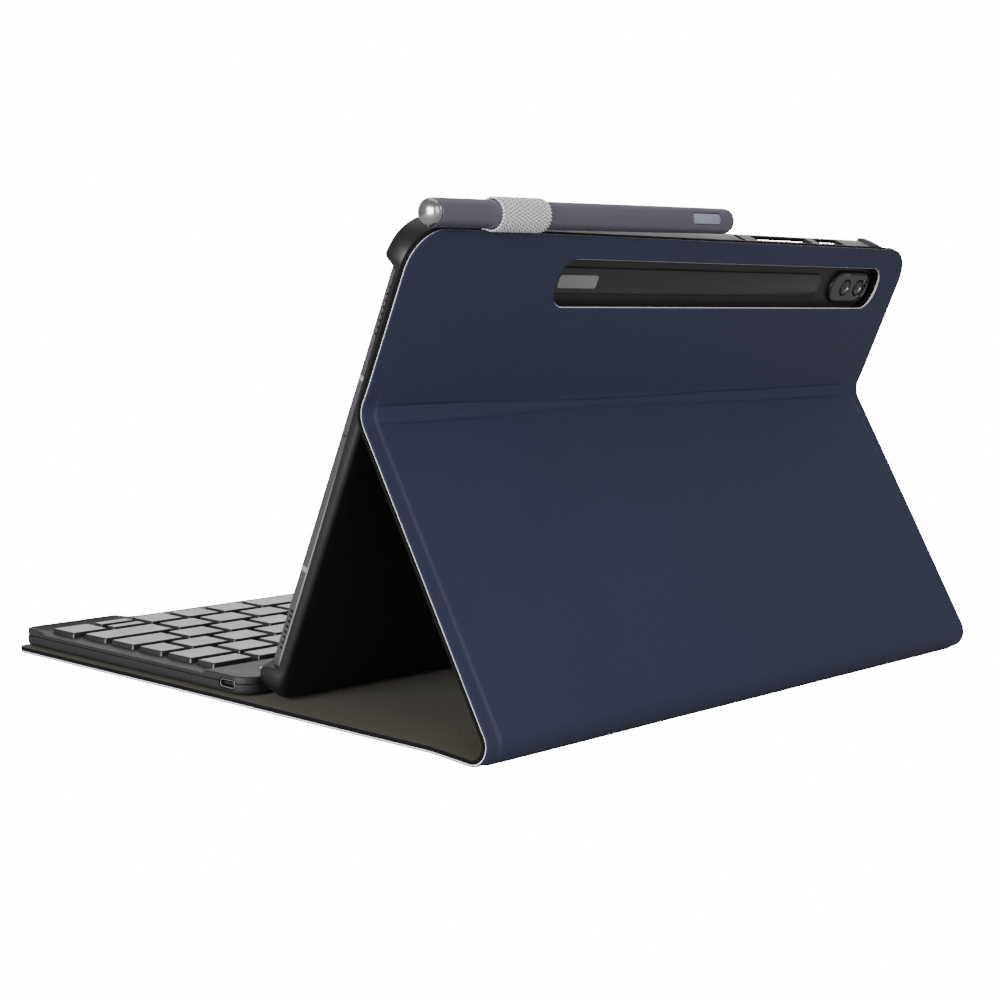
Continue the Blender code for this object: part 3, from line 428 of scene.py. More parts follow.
def rounded(x0, x1, y0, y1, radii, steps=6, inset=0.0):
    """Anticlockwise rounded rectangle. radii are for x0y0, x1y0, x1y1, x0y1, or one number."""
    if not isinstance(radii, tuple):
        radii = (radii,) * 4
    x0, x1, y0, y1 = x0 + inset, x1 - inset, y0 + inset, y1 - inset
    points = []
    for index, (x, y, sx, sy) in enumerate(((x0, y0, 1, 1), (x1, y0, -1, 1), (x1, y1, -1, -1),
                                            (x0, y1, 1, -1))):
        radius = max(radii[index] - inset, 0.02 * MM)
        start = math.pi * (1 + index / 2)
        points += arc((x + sx * radius, y + sy * radius), radius, start, start + math.pi / 2, steps)
    return points


def loft_mesh(rings, transform=None, bands=None):
    """Closed bmesh through rings of equal length, with flat ends. bands gives a material for each step."""
    mesh = bmesh.new()
    transform = transform or Matrix.Identity(4)
    loops = [[mesh.verts.new(transform @ Vector(point)) for point in ring] for ring in rings]
    mesh.faces.new(list(reversed(loops[0])))
    last = mesh.faces.new(loops[-1])
    for step, (low, high) in enumerate(zip(loops, loops[1:])):
        for i in range(len(low)):
            j = (i + 1) % len(low)
            face = mesh.faces.new((low[i], low[j], high[j], high[i]))
            if bands:
                face.material_index = bands[step]
    if bands and len(bands) == len(rings):
        last.material_index = bands[-1]
    return mesh


def stack(outline, levels):
    """Rings from outline(inset) at each (inset, height)."""
    return [[(x, y, height) for x, y in outline(inset)] for inset, height in levels]


def tool(rings, transform):
    """Cutter, which cut() removes after use."""
    mesh = loft_mesh(rings, transform)
    bmesh.ops.recalc_face_normals(mesh, faces=mesh.faces)
    return add_mesh("tool", mesh)


def tools(many, transform):
    """One cutter that holds several separate closed shapes."""
    whole = bmesh.new()
    for rings in many:
        part = loft_mesh(rings, transform)
        bmesh.ops.recalc_face_normals(part, faces=part.faces)
        twin = {v: whole.verts.new(v.co) for v in part.verts}
        for face in part.faces:
            whole.faces.new([twin[v] for v in face.verts])
        part.free()
    return add_mesh("tool", whole)


def prism(outline, low, high):
    return [[(x, y, z) for x, y in outline] for z in (low, high)]


def block(x0, x1, y0, y1, z0, z1):
    return prism([(x0, y0), (x1, y0), (x1, y1), (x0, y1)], z0, z1)


def along_x(outline, x0, x1):
    """Prism of a (y, z) outline along X."""
    return [[(x, y, z) for y, z in outline] for x in (x0, x1)]


def thinned(places, apart):
    """The places in order, without those that are closer together than apart."""
    chosen = []
    for place in sorted(places):
        if not chosen or place - chosen[-1] > apart:
            chosen.append(place)
    return chosen


def smoothstep(value):
    t = min(max(value, 0.0), 1.0)
    return t * t * (3 - 2 * t)


def turned(profile, sides=48):
    """Rings of a solid of revolution about X, from (x, radius) points."""
    return [[(x, radius * math.cos(TAU * i / sides), radius * math.sin(TAU * i / sides))
             for i in range(sides)] for x, radius in profile]


def slab(name, rows, half_width, place, levels, materials, bands, interior=28, body=None,
         margins=None, angle=38.0):
    """Closed sheet over a grid: rows along the sheet, columns across it, and depth levels through it.

    half_width(s) narrows the sheet at rounded corners. levels are functions depth(x, s), outermost first.
    The material of each pair of levels at the edge is in bands; the outer face takes the first, the inner
    face the last.
    """
    mesh = bmesh.new()
    uv = mesh.loops.layers.uv.new("UVMap")
    margins = margins or [m * MM for m in MARGINS]
    grid = []
    coordinates = {}
    for s in rows:
        half = half_width(s)
        inner = half - margins[-1]
        across = [-(half - m) for m in margins]
        across += [inner * (2 * i / interior - 1) for i in range(1, interior)]
        across += [half - m for m in reversed(margins)]
        row = []
        for x in across:
            column = []
            for depth in levels:
                vertex = mesh.verts.new(place(x, s, depth(x, s)))
                coordinates[vertex] = (x, s)
                column.append(vertex)
            row.append(column)
        grid.append(row)

    def add(vertices, material, shift=(0.0, 0.0)):
        face = mesh.faces.new(vertices)
        face.material_index = material
        for corner in face.loops:
            x, s = coordinates[corner.vert]
            corner[uv].uv = (x + shift[0], s + shift[1])

    count, columns, last = len(rows), len(grid[0]), len(levels) - 1
    for i in range(count - 1):
        for j in range(columns - 1):
            corners = (grid[i][j], grid[i][j + 1], grid[i + 1][j + 1], grid[i + 1][j])
            add([c[0] for c in reversed(corners)], bands[0])
            add([c[last] for c in corners], bands[-1])
    rim = [(0, j) for j in range(columns)] + [(i, columns - 1) for i in range(1, count)]
    rim += [(count - 1, j) for j in range(columns - 2, -1, -1)] + [(i, 0) for i in range(count - 2, 0, -1)]
    for (i, j), (k, m) in zip(rim, rim[1:] + rim[:1]):
        for level in range(last):
            add((grid[i][j][level], grid[k][m][level], grid[k][m][level + 1], grid[i][j][level + 1]),
                bands[level])
    for vertex in [v for v in mesh.verts if not v.link_faces]:
        mesh.verts.remove(vertex)
    return finish_mesh(name, mesh, materials, body, angle)


class Sheet:
    """Outline of a sheet along Y: straight sides, and one corner radius for each end."""

    def __init__(self, half_width, start, end, start_corner, end_corner):
        self.half_width, self.start, self.end = half_width, start, end
        self.start_corner, self.end_corner = start_corner, end_corner

    def corner(self, s):
        """(distance past the start of a rounded corner, its radius), or None between the corners."""
        if s < self.start + self.start_corner:
            return self.start + self.start_corner - s, self.start_corner
        if s > self.end - self.end_corner:
            return s - (self.end - self.end_corner), self.end_corner
        return None

    def half(self, s):
        """Half of the sheet's width."""
        corner = self.corner(s)
        if corner is None:
            return self.half_width
        past, radius = corner
        return self.half_width - radius + math.sqrt(max(radius ** 2 - min(past, radius) ** 2, 0.0))

    def edge(self, x, s):
        """Distance from the outline."""
        corner = self.corner(s)
        if corner is not None:
            past, radius = corner
            beside = abs(x) - (self.half_width - radius)
            if beside > 0:
                return radius - math.hypot(beside, past)
        return min(self.half_width - abs(x), s - self.start, self.end - s)

    def corner_rows(self, steps):
        """Row places that follow the rounded corners."""
        places = set()
        for i in range(steps + 1):
            rise = 1 - math.cos(math.pi / 2 * i / steps)
            places.update((self.start + self.start_corner * rise, self.end - self.end_corner * rise))
        return places


# ---------------------------------------------------------------- cover

SEGMENTS = {                                  # (start, end) along the path
    "front": (0.0, CREASE_AT - CREASE_REACH),
    "crease": (CREASE_AT - CREASE_REACH, CREASE_AT + CREASE_REACH),
    "loop": (CREASE_AT + CREASE_REACH, LOOP_END + LOOP_REACH),
    "kickstand": (LOOP_END + LOOP_REACH, FOLD_AT - FOLD_REACH),
    "fold": (FOLD_AT - FOLD_REACH, FOLD_AT + FOLD_REACH),
    "upper": (FOLD_AT + FOLD_REACH, TOP_AT),
}
MID_DEPTH = LAMINATE / 2


def cover_sheet(inset=0.0):
    return Sheet(HALF_WIDTH - inset, inset, TOP_AT - inset, FRONT_CORNER, TOP_CORNER)


COVER = cover_sheet()


def groove(s, centre, width):
    return math.exp(-((s - centre) / width) ** 2)


def outer_depth(x, s):
    """The leather's outer face: flat over the boards, lower along the margins, rolled at the cut edge."""
    edge = COVER.edge(x, s)
    recess = RECESS * (1 - 0.85 * smoothstep((s - FOLD_AT) / (8 * MM)))
    depth = recess * (1 - smoothstep((edge - 4.2 * MM) / (1.4 * MM)))
    depth += 0.12 * MM * (1 - min(edge / (0.45 * MM), 1.0)) ** 2
    spread = 1 + 0.75 * smoothstep((abs(x) - 40 * MM) / (75 * MM))
    wander = 0.25 * MM * math.sin(x * 47 + 0.6)
    pressed = groove(s, FOLD_AT - 1.25 * MM * spread + wander, 0.42 * MM)
    pressed += groove(s, FOLD_AT + 1.15 * MM * spread - wander, 0.42 * MM)
    depth += 0.40 * MM * pressed * smoothstep((HALF_WIDTH - abs(x) - 3 * MM) / (9 * MM))
    depth += 0.05 * MM * math.sin(x * 71 + 1.3) * math.sin(s * 53)
    return max(depth, 0.0)


def layer(extra):
    return lambda x, s: outer_depth(x, s) + extra


def level(depth):
    return lambda x, s: depth


def rows_between(start, end, inset=0.0):
    """Row places, close together at bends, rounded corners, margins and grooves."""
    places = {start, end} | cover_sheet(inset).corner_rows(16)
    for margin in MARGINS[1:]:
        places.update((inset + margin * MM, TOP_AT - inset - margin * MM))
    for i in range(27):
        places.add(LOOP_START + (LOOP_END - LOOP_START) * i / 26)
    for i in range(61):
        places.add(FOLD_AT + (i - 30) * 0.3 * MM)
    s = start
    while s < end:
        places.add(s)
        s += 5 * MM
    chosen = thinned([place for place in places if start <= place <= end], ROW_APART)
    chosen[-1] = end
    return chosen


def follow(piece, segment):
    """The body a segment of the cover moves with; a segment at a fold is left where it is built, on no body.
    """
    bodies = {"front": "front_cover", "kickstand": "kickstand", "upper": "tablet_holder"}
    joints = {
        "crease": ("front_cover", "spine", CREASE_AT - 4 * MM, CREASE_AT + 4 * MM),
        "loop": ("spine", "kickstand", LOOP_START, LOOP_END),
        "fold": ("kickstand", "tablet_holder", FOLD_AT - 6 * MM, FOLD_AT + 6 * MM),
    }
    if segment in bodies:
        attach(piece, bodies[segment])
        return
    first, second, start, end = joints[segment]
    on_cover(0, start, MID_DEPTH)
    on_cover(0, end, MID_DEPTH)
    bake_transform(piece)


def window_rings(grow):
    x0, x1, y0, y1 = WINDOW
    outline = rounded(x0 - grow, x1 + grow, y0 - grow, y1 + grow, WINDOW_CORNER + grow, 10)
    return prism(outline, -1 * MM, LAMINATE + 1 * MM)


def build_window_edge():
    """White cut edge of the leather's backing, round the window."""
    outer = [(x, y) for x, y, _ in window_rings(1.2 * MM)[0]]
    ring = finish_mesh("window_edge", loft_mesh(prism(outer, LEATHER + 0.02 * MM, LEATHER + BACKING),
                                                TABLET_FRAME), ["backing"])
    cut(ring, [tool(window_rings(0.0), TABLET_FRAME)])
    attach(ring, "tablet_holder")


def build_cover():
    panels = {"front": "front", "crease": "spine", "kickstand": "kickstand", "upper": "upper"}
    inset = 0.10 * MM
    for segment, (start, end) in SEGMENTS.items():
        at_front, at_top = segment == "front", segment == "upper"
        leather = slab(f"{segment}_leather", rows_between(start, end), COVER.half, on_cover,
                       (outer_depth, layer(LEATHER)), ["leather"], [0, 0])
        core_start = start + (inset if at_front else 0.0)
        core_end = end - (inset if at_top else 0.0)
        core = slab(f"{segment}_core", rows_between(core_start, core_end, inset),
                    cover_sheet(inset).half, on_cover,
                    (layer(LEATHER), layer(LEATHER + BACKING), level(LINING_AT)),
                    ["backing", "board"], [0, 1])
        lining = slab(f"{segment}_lining_cloth", rows_between(start, end), COVER.half, on_cover,
                      (level(LINING_AT), level(LAMINATE)), ["board", "lining"], [0, 1])
        if at_top:
            margin = LOOP_NOTCH_MARGIN
            pocket = block(LOOP_X[0] - margin, LOOP_X[1] + margin, LOOP_TAIL[0] - margin,
                           UPPER_HEIGHT + 1 * MM, 0.85 * MM, LAMINATE)
            cut(leather, [tool(window_rings(0.2 * MM), TABLET_FRAME)])
            cut(core, [tool(window_rings(1.4 * MM), TABLET_FRAME), tool(pocket, TABLET_FRAME)])
            cut(lining, [tool(window_rings(0.4 * MM), TABLET_FRAME)])
            build_window_edge()
        if at_front:
            low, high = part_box("panel_steel_strip")
            pocket = block(low.x - GAP, high.x + GAP, low.y + HALF_DEPTH - GAP, high.y + HALF_DEPTH + GAP,
                           LEATHER + 0.1 * MM, LAMINATE)
            cut(core, [tool(pocket, FRONT_FRAME)])
        stiffener = "strip" if segment == "crease" else "board"
        for piece, part in ((leather, "skin"), (core, stiffener), (lining, "lining")):
            follow(piece, segment)
            if segment in panels:
                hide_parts(f"{panels[segment]}_{part}")


# ---------------------------------------------------------------- shell


def squarer(angle):
    """How far a lower bumper's outside stands beyond the shell's rounder corner, at an angle through it."""
    offset = SHELL_CORNER - SHELL_LOWER_CORNER
    steep = max(math.cos(angle), math.sin(angle))
    flat = min(math.cos(angle), math.sin(angle))
    if flat * SHELL_CORNER <= steep * offset:
        return SHELL_CORNER / steep - SHELL_CORNER
    across = offset * (flat + steep)
    return across + math.sqrt(across ** 2 - 2 * offset ** 2 + SHELL_LOWER_CORNER ** 2) - SHELL_CORNER


def shell_border():
    """Points and outward directions round the shell, closest together at the corners."""
    inner_x = SHELL_HALF_WIDTH - SHELL_CORNER
    inner_low, inner_high = SHELL_BOTTOM + SHELL_CORNER, SHELL_TOP - SHELL_CORNER
    centres = ((-inner_x, inner_low), (inner_x, inner_low), (inner_x, inner_high), (-inner_x, inner_high))
    near = [0.5 * MM * i for i in range(1, 13)]
    border = []
    for index, centre in enumerate(centres):
        start = math.pi * (1 + index / 2)
        for i in range(25):
            angle = start + math.pi / 2 * i / 24
            out = Vector((math.cos(angle), math.sin(angle)))
            extra = squarer(math.pi / 2 * i / 24) if index < 2 else 0.0
            border.append((Vector(centre) + out * SHELL_CORNER, out, extra))
        here, out, _ = border[-1]
        target = Vector(centres[(index + 1) % 4]) + out * SHELL_CORNER
        run = (target - here).length
        places = near + [run * i / 16 for i in range(1, 16)] + [run - n for n in near]
        for place in thinned(places, 0.3 * MM):
            border.append((here + (target - here) * (place / run), out, 0.0))
    return border


def shell_rings():
    side_low = SHELL_BOTTOM + BUMPER_BOTTOM_LENGTH
    side_high = SHELL_TOP - BUMPER_TOP_LENGTH
    lip_end = SHELL_HALF_WIDTH - BUMPER_ALONG_X
    rings = [[] for _ in range(16)]
    for point, out, extra in shell_border():
        beyond = max(side_low - point.y, point.y - side_high)
        tall = smoothstep(beyond / (3.0 * MM) + 0.5)
        corner = tall * smoothstep((abs(point.x) - lip_end) / (3.0 * MM) + 0.5)
        side_top = SIDE_WALL_TOP + 1.5 * MM * smoothstep((point.y + 60 * MM) / (100 * MM))
        top = side_top + tall * (LONG_WALL_TOP - side_top) + corner * (LIP_TOP - LONG_WALL_TOP)
        bulge = 0.7 * MM * corner
        inner = -SHELL_WALL - LIP_REACH * corner
        under = top - 0.25 * MM - corner * (LIP_TOP - LIP_BOTTOM - 0.25 * MM)
        soft = 0.35 * MM + 0.65 * MM * corner
        profile = [
            (-6.0 * MM, SHELL_BACK), (-1.7 * MM, SHELL_BACK), (-0.9 * MM, SHELL_BACK + 0.18 * MM),
            (-0.35 * MM, SHELL_BACK + 0.62 * MM), (-0.05 * MM + bulge * 0.3, SHELL_BACK + 1.3 * MM),
            (bulge * 0.7, SHELL_BACK + 2.2 * MM),
            (bulge, (SHELL_BACK + 2.2 * MM + top) / 2),
            (bulge * 0.8, top - soft), (bulge * 0.8 - soft * 0.3, top - soft * 0.3),
            (bulge * 0.8 - soft, top),
            (inner + 0.3 * MM, top), (inner + 0.05 * MM, top - 0.1 * MM), (inner, under),
            (-SHELL_WALL, under - 0.02 * MM), (-SHELL_WALL, SHELL_FLOOR), (-6.0 * MM, SHELL_FLOOR),
        ]
        for index, (ring, (offset, depth)) in enumerate(zip(rings, profile)):
            where = point + out * (offset + (extra if 1 <= index <= 9 else 0.0))
            ring.append((where.x, where.y, depth))
    return rings


def build_shell():
    shell = finish_mesh("corner_shell", loft_mesh(shell_rings(), TABLET_FRAME), ["shell"])
    x0, x1, y0, y1 = WINDOW
    opening = rounded(x0 - 1.5 * MM, x1 + 2 * MM, y0 - 1.4 * MM, y1 + 1.4 * MM, WINDOW_CORNER, 10)
    cutters = [tool(prism(opening, 2 * MM, 5.1 * MM), TABLET_FRAME)]
    for x0, x1 in ((VOLUME_X[0] - 3 * MM, VOLUME_X[1] + 4 * MM), (POWER_X[0] - 2 * MM, POWER_X[1] + 2 * MM),
                   MICROPHONE_X):
        slot = rounded(x0, x1, *CUT_OUT_Z, 1.1 * MM, 6)
        rings = [[(x, y, z) for x, z in slot] for y in (SHELL_TOP - 2.3 * MM, SHELL_TOP + 1 * MM)]
        cutters.append(tool(rings, TABLET_FRAME))
    cut(shell, cutters, angle=30)
    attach(shell, "tablet_holder")
    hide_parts("tablet_shell")


# ---------------------------------------------------------------- tablet


def tablet_outline(inset):
    return rounded(-TABLET_HALF_WIDTH, TABLET_HALF_WIDTH, TABLET_BOTTOM, TABLET_TOP, TABLET_CORNER, 14,
                   inset)


RAIL = [(v * MM, z * MM) for v, z in (        # (inset, depth) of the tablet's side
    (2.2, 4.40), (1.5, 4.45), (1.0, 4.75), (0.72, 5.30), (0.42, 6.30), (0.06, 7.85), (0.0, 8.05),
    (0.0, 9.7), (0.08, 10.1), (0.3, 10.4), (0.62, 10.45), (0.68, 9.60))]
RAIL_BANDS = [2, 2, 2, 1, 1, 0, 0, 0, 0, 0, 0]  # materials: side, painted highlight on the band behind the side (a brighter copy of its metal), back


def build_tablet():
    # The band just behind the rail's side takes the brighter metal, a painted highlight.
    body = finish_mesh("tablet_metal_body",
                       loft_mesh(stack(tablet_outline, RAIL), TABLET_FRAME, RAIL_BANDS),
                       ["metal", "bright_trim_and_painted_highlight", "metal_back"], angle=18)
    for face in body.data.polygons:
        if len(face.vertices) > 4 and (TABLET_FRAME.inverted() @ face.center).z < SHELL_FLOOR + MM:
            face.material_index = 2
    pockets = [block(x0 - GAP, x1 + GAP, TABLET_TOP - 2 * MM, TABLET_TOP + 1 * MM, BUTTON_Z[0] - GAP,
                     BUTTON_Z[1] + GAP) for x0, x1 in (VOLUME_X, POWER_X)]
    slots = []
    for sign in (-1, 1):
        for first, last in ((20.6 * MM, 34.4 * MM), (-79.9 * MM, -67.6 * MM)):
            for i in range(8):
                y = first + (last - first) * i / 7
                hole = rounded(y - 0.42 * MM, y + 0.42 * MM, *SPEAKER_Z, 0.4 * MM, 4)
                x0, x1 = sorted((sign * (TABLET_HALF_WIDTH - 0.8 * MM), sign * (TABLET_HALF_WIDTH + MM)))
                slots.append(along_x(hole, x0, x1))
        mic = arc((-10.8 * MM, 8.7 * MM), 0.35 * MM, 0, TAU, 12)[:-1]
        x0, x1 = sorted((sign * (TABLET_HALF_WIDTH - 0.8 * MM), sign * (TABLET_HALF_WIDTH + MM)))
        slots.append(along_x(mic, x0, x1))
    cut(body, [tools(pockets, TABLET_FRAME), tools(slots, TABLET_FRAME)], angle=18)
    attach(body, "tablet_holder")
    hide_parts("tablet_body")

    for sign, side in ((1, "near"), (-1, "far")):
        for number, y in enumerate((6.9 * MM, -53.6 * MM)):
            half = 0.75 * MM
            visible = RAIL[2:10]
            line = [(TABLET_HALF_WIDTH - inset + 0.03 * MM, depth) for inset, depth in visible]
            line += [(TABLET_HALF_WIDTH - inset - 0.3 * MM, depth) for inset, depth in reversed(visible)]
            rings = [[(sign * x, y + edge, z) for x, z in line] for edge in (-half, half)]
            finish_mesh(f"antenna_band_{side}_{number}", loft_mesh(rings, TABLET_FRAME), ["antenna"],
                        "tablet_holder")

    inset = 0.9 * MM
    border = 7.5 * MM
    low, high = BODY_TOP + GAP, GLASS_TOP
    levels = [(inset, low), (inset, high - 0.25 * MM), (inset + 0.1 * MM, high - 0.08 * MM),
              (inset + 0.3 * MM, high), (border, high), (border + 0.01 * MM, high)]
    glass = finish_mesh("display_panel", loft_mesh(stack(tablet_outline, levels), TABLET_FRAME,
                                                   [0, 0, 0, 0, 1, 1]), ["glass", "display"],
                        "tablet_holder", angle=30)
    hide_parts("tablet_glass")
    disc = [(x, y) for x, y in arc((0.0, TABLET_TOP - 4.2 * MM), 1.4 * MM, 0, TAU, 24)[:-1]]
    finish_mesh("front_camera_ring", loft_mesh(prism(disc, high, high + 0.04 * MM), TABLET_FRAME),
                ["lens_ring"], "tablet_holder")
    pupil = [(x, y) for x, y in arc((0.0, TABLET_TOP - 4.2 * MM), 0.9 * MM, 0, TAU, 24)[:-1]]
    finish_mesh("front_camera_lens", loft_mesh(prism(pupil, high + 0.04 * MM, high + 0.07 * MM),
                                               TABLET_FRAME), ["lens"], "tablet_holder")


def build_rear_camera():
    low, high = Vector((-113.5, 33.4)) * MM, Vector((-89.0, 44.9)) * MM

    def pill(inset):
        return rounded(low.x, high.x, low.y, high.y, (high.y - low.y) / 2, 12, inset)

    face = 3.0 * MM
    levels = [(0.0, SHELL_FLOOR), (0.0, face + 0.5 * MM), (0.12 * MM, face + 0.18 * MM),
              (0.4 * MM, face), (0.9 * MM, face), (1.05 * MM, face + 0.12 * MM)]
    plate = finish_mesh("camera_island", loft_mesh(stack(pill, levels), TABLET_FRAME,
                                                   [0, 0, 0, 0, 1, 1]), ["lens_ring", "lens"], angle=30)
    holes = []
    for x in (-98.6 * MM, -107.0 * MM):
        hole = arc((x, 39.0 * MM), 3.2 * MM, 0, TAU, 40)[:-1]
        holes.append(prism(hole, 2 * MM, 5 * MM))
    cut(plate, [tools(holes, TABLET_FRAME)], angle=30)
    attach(plate, "tablet_holder")
    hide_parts("camera_plate")
    for node, x, radius in (("camera_lens_main", -98.6 * MM, 2.9 * MM),
                            ("camera_lens_second", -107.0 * MM, 2.9 * MM)):
        centre = (x, 39.0 * MM)
        profile = [(radius, SHELL_FLOOR), (radius, 3.1 * MM), (radius - 0.15 * MM, 2.85 * MM),
                   (radius - 0.5 * MM, 2.8 * MM), (radius - 0.65 * MM, 2.95 * MM),
                   (radius - 1.0 * MM, 3.0 * MM), (radius - 1.1 * MM, 3.25 * MM),
                   (radius - 1.6 * MM, 3.1 * MM), (radius - 2.2 * MM, 3.0 * MM),
                   (0.2 * MM, 2.96 * MM)]
        rings = [[(px, py, depth) for px, py in arc(centre, r, 0, TAU, 40)[:-1]] for r, depth in profile]
        lens = finish_mesh(node + "_glass", loft_mesh(rings, TABLET_FRAME, [1, 1, 1, 1, 0, 2, 0, 0, 0, 0]),
                           ["lens", "lens_ring", "bright_trim_and_painted_highlight"], "tablet_holder", angle=30)
        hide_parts(node)


def build_pen_strip():
    low, high = Vector((-82.5, 35.2)) * MM, Vector((63.0, 43.6)) * MM

    def strip(inset):
        return rounded(low.x, high.x, low.y, high.y, 3 * MM, 10, inset)

    face = 3.6 * MM
    levels = [(0.0, SHELL_FLOOR), (0.0, face + 0.3 * MM), (0.1 * MM, face + 0.1 * MM), (0.35 * MM, face)]
    piece = finish_mesh("pen_strip_gloss", loft_mesh(stack(strip, levels), TABLET_FRAME), ["strip"],
                        "tablet_holder")
    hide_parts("pen_strip")
    mark = rounded(40.6 * MM, 58.7 * MM, 37.1 * MM, 41.3 * MM, 1.0 * MM, 6)
    finish_mesh("pen_strip_mark", loft_mesh(prism(mark, face - 0.03 * MM, face + 0.05 * MM), TABLET_FRAME),
                ["pill"], "tablet_holder")


def build_side_buttons():
    for node, (x0, x1) in (("power_button", POWER_X), ("volume_rocker", VOLUME_X)):
        out = TABLET_TOP + 0.7 * MM

        def face(inset):
            return rounded(x0, x1, BUTTON_Z[0], BUTTON_Z[1], 1.1 * MM, 6, inset)

        levels = [(0.0, TABLET_TOP - 1.2 * MM), (0.0, out - 0.3 * MM), (0.1 * MM, out - 0.08 * MM),
                  (0.3 * MM, out)]
        rings = [[(x, y, z) for x, z in face(inset)] for inset, y in levels]
        button = finish_mesh(node + "_cap", loft_mesh(rings, TABLET_FRAME), ["metal"], node)
        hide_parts(node)


# ---------------------------------------------------------------- stylus and its loop


def build_stylus():
    r = STYLUS_RADIUS
    rounding = 2.8 * MM
    nose = [(STYLUS_NIB_X + rounding - rounding * math.sin(math.radians(a)),
             r - rounding + rounding * math.cos(math.radians(a))) for a in range(0, 91, 9)]
    profile = [(STYLUS_CAP_X, r - 0.5 * MM), (STYLUS_CAP_X - 0.02 * MM, r - 0.12 * MM),
               (STYLUS_CAP_X - 0.2 * MM, r), (STYLUS_CAP_X - 2.0 * MM, r)]
    profile += [(STYLUS_CAP_X - 4 * MM - 12 * MM * i, r) for i in range(10)] + nose
    barrel = finish_mesh("stylus_tube", loft_mesh(turned(profile, 64), STYLUS_FRAME), ["stylus"])
    x0, x1 = STYLUS_BUTTON
    half = 1.65 * MM
    pocket = rounded(x0, x1, -half, half, 1.2 * MM, 8, -0.2 * MM)
    cut(barrel, [tool(prism(pocket, -r - MM, -r + 2.3 * MM), STYLUS_FRAME)], angle=30)
    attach(barrel, "stylus")
    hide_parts("stylus_barrel")

    cap_x = STYLUS_CAP_X + GAP
    cap_radius = r - 0.1 * MM
    straight = 0.6 * MM
    height = 2.4 * MM
    dome = [(cap_x, cap_radius - 0.3 * MM), (cap_x + 0.05 * MM, cap_radius - 0.05 * MM),
            (cap_x + 0.15 * MM, cap_radius), (cap_x + 0.25 * MM, cap_radius),
            (cap_x + 0.32 * MM, cap_radius - 0.10 * MM), (cap_x + 0.42 * MM, cap_radius - 0.10 * MM),
            (cap_x + 0.5 * MM, cap_radius), (cap_x + straight, cap_radius)]
    for i in range(1, 15):
        angle = math.radians(88) * i / 14
        dome.append((cap_x + straight + height * math.sin(angle), cap_radius * math.cos(angle)))
    cap = finish_mesh("stylus_dome", loft_mesh(turned(dome, 64), STYLUS_FRAME), ["chrome"], "stylus",
                      angle=25)
    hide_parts("stylus_end_cap")

    nib_x = STYLUS_NIB_X - GAP
    tip = [(nib_x, 1.0 * MM), (nib_x - 0.2 * MM, 1.0 * MM), (nib_x - 0.9 * MM, 0.75 * MM),
           (nib_x - 1.4 * MM, 0.52 * MM), (nib_x - 1.65 * MM, 0.3 * MM), (nib_x - 1.7 * MM, 0.05 * MM)]
    nib = finish_mesh("stylus_tip", loft_mesh(turned(tip, 32), STYLUS_FRAME), ["nib"], "stylus")
    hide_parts("stylus_nib")

    def pill(inset):
        return rounded(x0, x1, -half, half, 1.0 * MM, 8, inset)

    rings = []
    for inset, lift in ((0.0, 1.4 * MM), (0.0, 0.2 * MM), (0.08 * MM, 0.05 * MM), (0.3 * MM, 0.0)):
        ring = []
        for x, y in pill(inset):
            crown = r - math.sqrt(r ** 2 - y ** 2)
            ring.append((x, y, -r + 0.12 * MM + lift + crown * (1 if lift < MM else 0)))
        rings.append(ring)
    button = finish_mesh("stylus_button_cap", loft_mesh(rings, STYLUS_FRAME), ["stylus_button"],
                         "stylus_button")
    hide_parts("stylus_button")


def knitted(name, route, wall, relief):
    """Knitted elastic band along a route of (y, z, direction out of the band), with a raised chevron and
    painted shade in its hollows.
    """
    lengths = [0.0]
    for before, after in zip(route, route[1:]):
        lengths.append(lengths[-1] + math.hypot(after[0] - before[0], after[1] - before[1]))
    columns = 96
    width = LOOP_X[1] - LOOP_X[0]
    wale = 2.4 * MM
    course = 1.0 * MM
    mesh = bmesh.new()
    sides = []
    painted_shade_hollows = set()
    for facing in (1, -1):
        sheet = []
        for (y, z, out), length in zip(route, lengths):
            row = []
            for j in range(columns + 1):
                across = width * j / columns
                zig = abs((across / wale) % 1.0 - 0.5) * 2
                knit = 0.5 + 0.5 * math.cos(TAU * (length / course + zig * 1.0))
                rib = 0.5 + 0.5 * math.cos(TAU * across / (wale / 2))
                height = relief * (knit ** 0.7 * 0.8 + rib * 0.2)
                if facing == -1:
                    height = min(0.04 * MM, relief) * knit
                fray = 0.0
                if j in (0, columns):
                    fray = 0.28 * MM * math.cos(TAU * length / course) * (1 if j else -1)
                lift = facing * (wall / 2 - (relief if facing == 1 else 0.04 * MM) + height)
                vertex = mesh.verts.new(LOOP_FRAME @ Vector((
                    LOOP_X[0] + across + fray, y + out[0] * lift, z + out[1] * lift)))
                # Vertices low in the knit: the faces between them take the elastic's painted shade.
                if knit < 0.22:
                    painted_shade_hollows.add(vertex)
                row.append(vertex)
            sheet.append(row)
        sides.append(sheet)
    count = len(route)
    for sheet in sides:
        for i in range(count - 1):
            for j in range(columns):
                corners = (sheet[i][j], sheet[i][j + 1], sheet[i + 1][j + 1], sheet[i + 1][j])
                face = mesh.faces.new(corners)
                face.material_index = 1 if sum(v in painted_shade_hollows for v in corners) > 1 else 0
    top, bottom = sides
    rim = [(0, j) for j in range(columns)] + [(i, columns) for i in range(count - 1)]
    rim += [(count - 1, j) for j in range(columns, 0, -1)] + [(i, 0) for i in range(count - 1, 0, -1)]
    for (i, j), (k, m) in zip(rim, rim[1:] + rim[:1]):
        mesh.faces.new((top[i][j], top[k][m], bottom[k][m], bottom[i][j]))
    return finish_mesh(name, mesh, ["elastic", "elastic_painted_shade"], "tablet_holder", angle=70)


